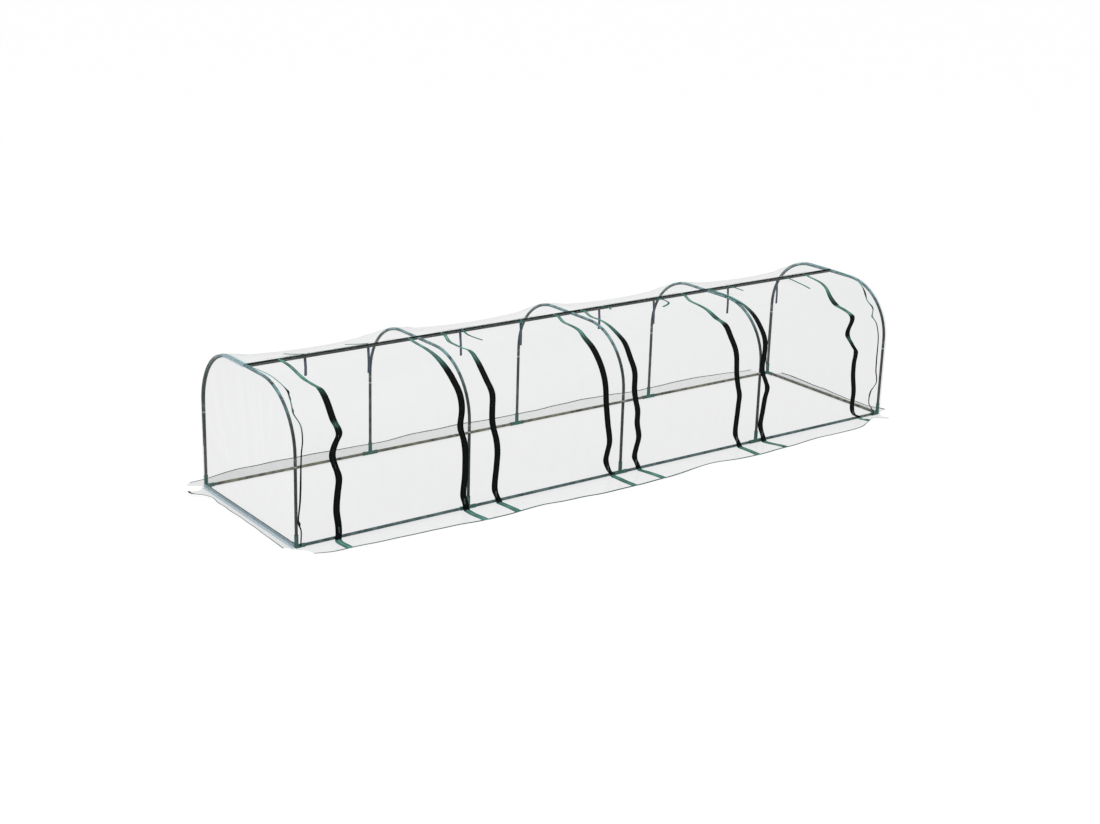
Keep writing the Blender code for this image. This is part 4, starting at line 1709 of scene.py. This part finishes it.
    def door(self, number: int) -> None:
        """One door from the ridge seam down to its hem.

        Args:
            number: The door, from 1 at the left.
        """
        zips = (2 * number - 1, 2 * number)

        def left(run: float) -> float:
            """The door's left edge."""
            return self.tunnel.zip_x(zips[0], run) + self.zip_gap

        def right(run: float) -> float:
            """The door's right edge."""
            return self.tunnel.zip_x(zips[1], run) - self.zip_gap

        self.front(f"door_{number}", f"door_{number}", left, right, zips, ())


@dataclass
class Zip:
    """One zip: two tapes, two rows of teeth, a stop at the top and a slider."""

    tunnel: Tunnel
    finishes: Finishes
    number: int
    half: float = 0.0187
    middle: float = 0.0003
    tape_depth: float = 0.0007
    tape_lift: float = 0.0006
    crown: float = 0.00025
    pitch: float = 0.003
    tooth: tuple[float, float, float] = (0.0046, 0.0015, 0.0015)
    stop: tuple[float, float, float] = (0.00598, 0.0045, 0.0024)
    tooth_lift: float = 0.00175
    top: float = 0.045
    step: float = 0.008
    folded: float = 0.55

    def build(self) -> None:
        """Builds the half on the door, the half on the strip and the slider."""
        door_way = 1 if self.number % 2 else -1
        halves = (("door", door_way, f"door_{(self.number + 1) // 2}"), ("strip", -door_way, "frame"))
        for word, way, body in halves:
            self.tape(word, way, body)
            self.teeth(word, way, body)
        self.slider()

    def spot(self, run: float, offset: float, lift: float) -> Vector:
        """A point beside the zip's middle."""
        t = self.tunnel
        return t.point(t.zip_x(self.number, run) + offset, run, Side.FRONT, lift)

    def turned(self, run: float) -> float:
        """How far a fold turns the tape up to the light: most where it slants down to the right.

        Args:
            run: The way along the film from the ridge.

        Returns:
            A share from 0 to 1.
        """
        t = self.tunnel
        reach = 8 * MM
        slant = (t.zip_x(self.number, run + reach) - t.zip_x(self.number, run - reach)) / (2 * reach)
        return ease(0.15, 0.75, slant)

    def tone(self, run: float, upward: float) -> float:
        """How much of its sheen the tape shows: some on the flat of the roof, most where a fold turns it up.

        Args:
            run: The way along the film from the ridge.
            upward: How far the place faces up.

        Returns:
            A share from 0 to 1.
        """
        flecks = 0.75 + 0.5 * noise.noise(Vector((self.number * 5.3, run * 16.0, 0.0)))
        roof = 0.7 * ease(0.78, 0.97, upward)
        fold = 0.9 * self.turned(run) * ease(0.0, 0.5, upward)
        return min(max(roof, fold) * flecks, 1.0)

    def tape(self, word: str, way: int, body: str) -> None:
        """One tape half, sewn along the film's edge.

        Args:
            word: What it is sewn to, for its name.
            way: 1 if it lies to the right of the teeth, -1 to the left.
            body: The body that it moves with.
        """
        runs = [run for run in film_runs(self.tunnel, self.step) if run >= 0.006]
        width = self.half - self.middle

        def spot(run: float, share: float) -> Vector:
            """A point of the tape: folded narrow near the ridge, and slightly crowned.

            Args:
                run: The way along the film from the ridge.
                share: The way out from the teeth.

            Returns:
                The point.
            """
            crown = self.crown * (1 - (2 * share - 1) ** 4)
            narrow = self.folded + (1 - self.folded) * ease(0.2, 0.42, run)
            narrow *= 1 - 0.25 * self.turned(run)
            return self.spot(run, way * (self.middle + width * narrow * share), self.tape_lift + crown)

        name = f"zip_{self.number}_tape_{word}"
        out = way_out(Side.FRONT)
        patch = Patch(name, runs, spread(0.0, 1.0, 0.125), spot, width, out, tone=self.tone)
        attach(patch.build(self.finishes.tape, self.tape_depth), body, "zip_tape")

    def teeth(self, word: str, way: int, body: str) -> None:
        """One row of teeth with its stop at the top.

        Args:
            word: What it is sewn to, for its name.
            way: 1 for the right row, -1 for the left.
            body: The body that it moves with.
        """
        t = self.tunnel
        shape = bmesh.new()
        up = shape.verts.layers.float.new("face_up")
        beside = way * self.tooth[0] * 0.28
        offset = self.pitch / 2 if way > 0 else 0.0
        count = int((t.hem_run - 0.004 - self.top) / self.pitch)
        places = [(self.top - 2 * MM, self.stop)]
        places += [(self.top + offset + i * self.pitch, self.tooth) for i in range(1, count)]
        for run, (wide, long, deep) in places:
            centre = self.spot(run, beside, self.tooth_lift)
            onward = (self.spot(run + 2 * MM, beside, self.tooth_lift) - centre).normalized()
            _, _, outward, upward = t.section(run)
            side = onward.cross(Vector((0.0, -outward, upward))).normalized()
            out = side.cross(onward).normalized()
            basis = Matrix((side * wide, onward * long, out * deep)).transposed().to_4x4()
            made = bmesh.ops.create_cube(shape, size=1.0, matrix=Matrix.Translation(centre) @ basis)
            for vertex in made["verts"]:
                vertex[up] = self.tone(run, out.z)
        bmesh.ops.bevel(
            shape, geom=shape.edges[:], offset=0.35 * MM, segments=1, profile=0.5, affect="EDGES",
            material=-1,
        )
        bmesh.ops.recalc_face_normals(shape, faces=shape.faces)
        piece = new_piece(f"zip_{self.number}_teeth_{word}", shape, self.finishes.coil, smooth=50.0)
        attach(piece, body, "zip_tape")

    def raise_faces(self, shape: Mesh, faces: Sequence[bmesh.types.BMFace], depth: float) -> None:
        """Extrudes faces towards the front.

        Args:
            shape: The mesh that they are in.
            faces: The faces.
            depth: How far they go.
        """
        grown = bmesh.ops.extrude_face_region(shape, geom=faces)["geom"]
        moved = [item for item in grown if isinstance(item, bmesh.types.BMVert)]
        bmesh.ops.translate(shape, verts=moved, vec=(0, -depth, 0))

    def slider(self) -> None:
        """The slider: a shield plate, two posts with a bridge, and a pull with a hole that hangs from it."""
        low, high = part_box(f"zip_slider_{self.number}")
        t = self.tunnel
        shape = bmesh.new()
        plate, body_height, half_width, back = 1.1 * MM, 8 * MM, 5.5 * MM, -high.y
        disc = bmesh.ops.create_circle(shape, cap_ends=True, segments=28, radius=1.0)["verts"]
        for vertex in disc:
            across, up = vertex.co.x, vertex.co.y
            width = half_width * (0.62 + 0.38 * ease(-1.0, 0.4, up))
            vertex.co = Vector((across * width, -(back + 1.2 * MM), up * body_height))
        self.raise_faces(shape, list({face for vertex in disc for face in vertex.link_faces}), plate)
        for out, height, size in (
            (3.6 * MM, 2.4 * MM, (2.6 * MM, 2.2 * MM, 2.0 * MM)),
            (3.6 * MM, -2.4 * MM, (2.6 * MM, 2.2 * MM, 2.0 * MM)),
            (4.9 * MM, 0.0, (2.6 * MM, 1.0 * MM, 6.8 * MM)),
        ):
            place = Matrix.Translation((0.0, -(back + out), height)) @ Matrix.Diagonal((*size, 1.0))
            bmesh.ops.create_cube(shape, size=1.0, matrix=place)
        pull = bmesh.ops.create_grid(shape, x_segments=4, y_segments=8, size=0.5)["verts"]
        length, widest, neck = 24 * MM, 3.5 * MM, 2.4 * MM
        for vertex in pull:
            share = 0.5 - vertex.co.y
            width = neck + (widest - neck) * ease(0.1, 0.8, share) - 1.2 * MM * ease(0.88, 1.0, share)
            vertex.co = Vector((2 * vertex.co.x * width, -(back + 3.3 * MM), 1.5 * MM - share * length))
        faces = list({face for vertex in pull for face in vertex.link_faces})
        holes = [
            face for face in faces
            if abs(face.calc_center_median().x) < 1.5 * MM
            and -20.5 * MM < face.calc_center_median().z < -12.5 * MM
        ]
        bmesh.ops.delete(shape, geom=holes, context="FACES_ONLY")
        self.raise_faces(shape, [face for face in faces if face.is_valid], plate)
        bmesh.ops.recalc_face_normals(shape, faces=shape.faces)
        turn = Matrix.Rotation(-math.atan2(t.lean, t.travel), 4, "Y")
        place = Matrix.Translation(((low.x + high.x) / 2, 0.0, t.rest_z))
        bmesh.ops.transform(shape, matrix=place @ turn, verts=shape.verts)
        piece = new_piece(f"zip_{self.number}_slider", shape, self.finishes.zinc, smooth=35.0)
        edges = piece.modifiers.new("edges", "BEVEL")
        edges.width, edges.segments, edges.limit_method = 0.25 * MM, 2, "ANGLE"
        edges.angle_limit = math.radians(40)
        attach(piece, f"zip_slider_{self.number}", "slider_metal", f"zip_slider_{self.number}")


@dataclass
class Ties:
    """The tie tapes at the ridge that hold a rolled door up: one half hangs inside, one lies outside.

    An inner half is given by its x and the height of its end. An outer half is given by its x, the half of
    the roof that it lies on, and its middle and its end, as steps along the ridge and down the roof.
    """

    tunnel: Tunnel
    finishes: Finishes
    width: float = 0.015
    depth: float = 0.0008
    inner: Line = (
        (-1.658, 0.69), (-1.291, 0.648), (-0.727, 0.655), (-0.335, 0.655),
        (0.203, 0.672), (0.597, 0.646), (1.162, 0.632), (1.555, 0.641),
    )
    outer: tuple[tuple[float, Side, Line], ...] = (
        (-1.66, Side.BACK, ((-0.04, 0.03), (-0.08, 0.074))),
        (-1.29, Side.BACK, ((-0.05, 0.03), (-0.1, 0.07))),
        (-0.727, Side.FRONT, ((-0.02, 0.1), (0.01, 0.185))),
        (-0.34, Side.FRONT, ((-0.02, 0.025), (-0.045, 0.05))),
        (0.203, Side.FRONT, ((0.03, 0.03), (0.02, 0.07))),
        (0.6, Side.FRONT, ((0.014, 0.1), (-0.06, 0.137))),
        (1.15, Side.FRONT, ((0.01, 0.06), (0.015, 0.12))),
        (1.6, Side.FRONT, ((0.0, 0.11), (0.01, 0.22))),
    )

    def build(self) -> None:
        """Builds the sixteen halves."""
        for number, (x, low) in enumerate(self.inner, 1):
            self.hanging(number, x, low)
        for number, (x, side, way) in enumerate(self.outer, 1):
            self.lying(number, x, side, way)

    def sew(self, name: str, step: float, spot: Spot, out: Vector, body: str) -> None:
        """Makes one half.

        Args:
            name: The piece's name.
            step: How far apart its rows are, as a share of its length.
            spot: Gives the point for a share along and a share across.
            out: Roughly the way that its outer face looks.
            body: The body that it moves with.
        """
        patch = Patch(name, spread(0.0, 1.0, step), spread(0.0, 1.0, 0.25), spot, self.width, out)
        attach(patch.build(self.finishes.tie, self.depth, 0.0), body, "tie_tape")

    def hanging(self, number: int, x: float, low: float) -> None:
        """An inner half: it comes down round the back of the ridge tube and hangs with a slight curl.

        Args:
            number: The tie's number.
            x: Where it hangs along the ridge.
            low: The height of its end.
        """
        t = self.tunnel
        radius = t.tube + self.depth
        start, end, bent = math.radians(45), math.radians(-25), 0.16
        foot = t.ridge_z + radius * math.sin(end)
        sway = 0.5 * noise.noise(Vector((x * 3.1, 0.3, 0.7)))

        def spot(along: float, share: float) -> Vector:
            """A point of the tape, round the tube and then down.

            Args:
                along: The way along the tape.
                share: The way across it.

            Returns:
                The point.
            """
            across = (share - 0.5) * self.width
            if along < bent:
                angle = start + (end - start) * along / bent
                return Vector((x + across, radius * math.cos(angle), t.ridge_z + radius * math.sin(angle)))
            down = (along - bent) / (1 - bent)
            twist = 0.9 * sway * down
            back = radius * math.cos(end) * (1 - 0.8 * ease(0.0, 0.6, down))
            place = Vector((x + 0.012 * sway * down**2, back, foot - (foot - low) * down))
            return place + Vector((across * math.cos(twist), across * math.sin(twist), 0.0))

        self.sew(f"tie_inner_{number}", 0.04, spot, Vector((0, -1, 0)), "frame")

    def lying(self, number: int, x: float, side: Side, way: Line) -> None:
        """An outer half: it lies on the roof film of its door, or has fallen over the ridge to the back.

        Args:
            number: The tie's number.
            x: Where it is sewn in along the ridge.
            side: The half of the roof that it lies on.
            way: Its middle and its end, as steps along the ridge and down the roof.
        """
        along_ridge = [(0.0, 0.0)] + [(0.5 * step, shift) for step, (shift, _) in enumerate(way, 1)]
        down_roof = [(0.0, 0.006)] + [(0.5 * step, run) for step, (_, run) in enumerate(way, 1)]

        def spot(along: float, share: float) -> Vector:
            """A point of the tape, laid square to the way that it takes.

            Args:
                along: The way along the tape.
                share: The way across it.

            Returns:
                The point.
            """
            ahead, behind = min(along + 0.1, 1.0), max(along - 0.1, 0.0)
            slope = math.atan2(
                glide(along_ridge, ahead) - glide(along_ridge, behind),
                glide(down_roof, ahead) - glide(down_roof, behind),
            )
            across = (share - 0.5) * self.width * 0.8
            middle = x + glide(along_ridge, along) + across * math.cos(slope)
            run = glide(down_roof, along) - across * math.sin(slope)
            run += 0.4 * self.width * abs(math.sin(slope))
            return self.tunnel.point(middle, run, side, 2.2 * MM)

        body = "frame" if side is Side.BACK else f"door_{(number + 1) // 2}"
        self.sew(f"tie_outer_{number}", 0.05, spot, Vector((0, 0, 1)), body)


@dataclass
class Studio:
    """A white floor, soft light from above and the camera at the photograph's angle."""

    camera_at: tuple[float, float, float] = (-5.848, -7.678, 3.386)
    camera_turn: tuple[float, float, float] = (71.792, -1.676, -36.155)
    lens_mm: float = 59.13
    sensor_mm: float = 36.0
    floor_size: float = 60.0
    floor_drop: float = 0.0006
    fill: float = 0.72
    key_watts: float = 130.0
    key_size: tuple[float, float] = (7.0, 5.0)
    key_at: tuple[float, float, float] = (-0.8, -1.6, 5.0)
    shadow_share: float = 0.22

    def build(self) -> None:
        """Builds the floor, the light and the camera."""
        self.floor()
        self.light()
        self.camera()

    def seen(self, tree: Tree) -> Socket:
        """Says whether a ray comes from the camera, a reflection or a clear layer.

        Args:
            tree: The nodes that ask.

        Returns:
            A value that is 1 for such a ray.
        """
        ray = add_node(tree, "LightPath").node.outputs
        seen = {0: ray["Is Camera Ray"], 1: ray["Is Glossy Ray"]}
        either = add_node(tree, "Math", seen, operation="MAXIMUM")
        return add_node(tree, "Math", {0: either, 1: ray["Is Transmission Ray"]}, operation="MAXIMUM")

    def floor(self) -> None:
        """A matt white floor that stays white to the camera and keeps a faint shadow."""
        shape = bmesh.new()
        bmesh.ops.create_grid(shape, x_segments=1, y_segments=1, size=self.floor_size / 2)
        bmesh.ops.translate(shape, verts=shape.verts, vec=(0, 0, -self.floor_drop))
        material = bpy.data.materials.new("matt white floor")
        material.use_nodes = True
        tree = material.node_tree
        tree.nodes.clear()
        matt = add_node(tree, "BsdfDiffuse", {"Color": linear_colour("#fafafa")})
        lift = (1 - self.shadow_share * self.fill) / (1 - self.shadow_share)
        white = add_node(tree, "Emission", {"Color": linear_colour("#ffffff"), "Strength": lift})
        share = add_node(tree, "Math", {0: self.seen(tree), 1: 1 - self.shadow_share}, operation="MULTIPLY")
        mix = add_node(tree, "MixShader", {"Fac": share, 1: matt, 2: white})
        add_node(tree, "OutputMaterial", {"Surface": mix})
        new_piece("studio_floor", shape, material)

    def light(self) -> None:
        """An even white surround and one large soft lamp above."""
        world = bpy.data.worlds.new("studio surround")
        bpy.context.scene.world = world
        world.use_nodes = True
        tree = world.node_tree
        tree.nodes.clear()
        strength = add_node(tree, "MapRange", {"Value": self.seen(tree), "To Min": self.fill, "To Max": 1.0})
        surround = add_node(tree, "Background", {"Color": linear_colour("#ffffff"), "Strength": strength})
        add_node(tree, "OutputWorld", {"Surface": surround})
        lamp = bpy.data.lights.new("soft_key", "AREA")
        lamp.shape = "RECTANGLE"
        lamp.size, lamp.size_y = self.key_size
        lamp.energy = self.key_watts
        key = bpy.data.objects.new("soft_key", lamp)
        key.location = self.key_at
        key.rotation_euler = Vector(self.key_at).to_track_quat("Z", "Y").to_euler()
        bpy.context.scene.collection.objects.link(key)

    def camera(self) -> None:
        """The camera at the photograph's place and angle."""
        data = bpy.data.cameras.new("camera")
        data.lens, data.sensor_width, data.clip_end = self.lens_mm, self.sensor_mm, 100.0
        camera = bpy.data.objects.new("camera", data)
        camera.location = self.camera_at
        camera.rotation_euler = tuple(math.radians(angle) for angle in self.camera_turn)
        bpy.context.scene.collection.objects.link(camera)
        bpy.context.scene.camera = camera


def main() -> None:
    """Builds the greenhouse's looks in order."""
    logging.basicConfig(level=logging.INFO, format="%(name)s: %(message)s")
    bpy.context.scene.view_settings.view_transform = "Standard"
    Studio().build()
    tunnel = Tunnel.measure()
    LOG.info("hoops at %s, zips at %s", tunnel.hoops, tunnel.zips)
    finishes = Finishes()
    TubeFrame(tunnel, finishes).build()
    Cover(tunnel, finishes).build()
    for number in range(1, len(tunnel.zips) + 1):
        Zip(tunnel, finishes, number).build()
    Ties(tunnel, finishes).build()


if __name__ == "__main__":
    main()
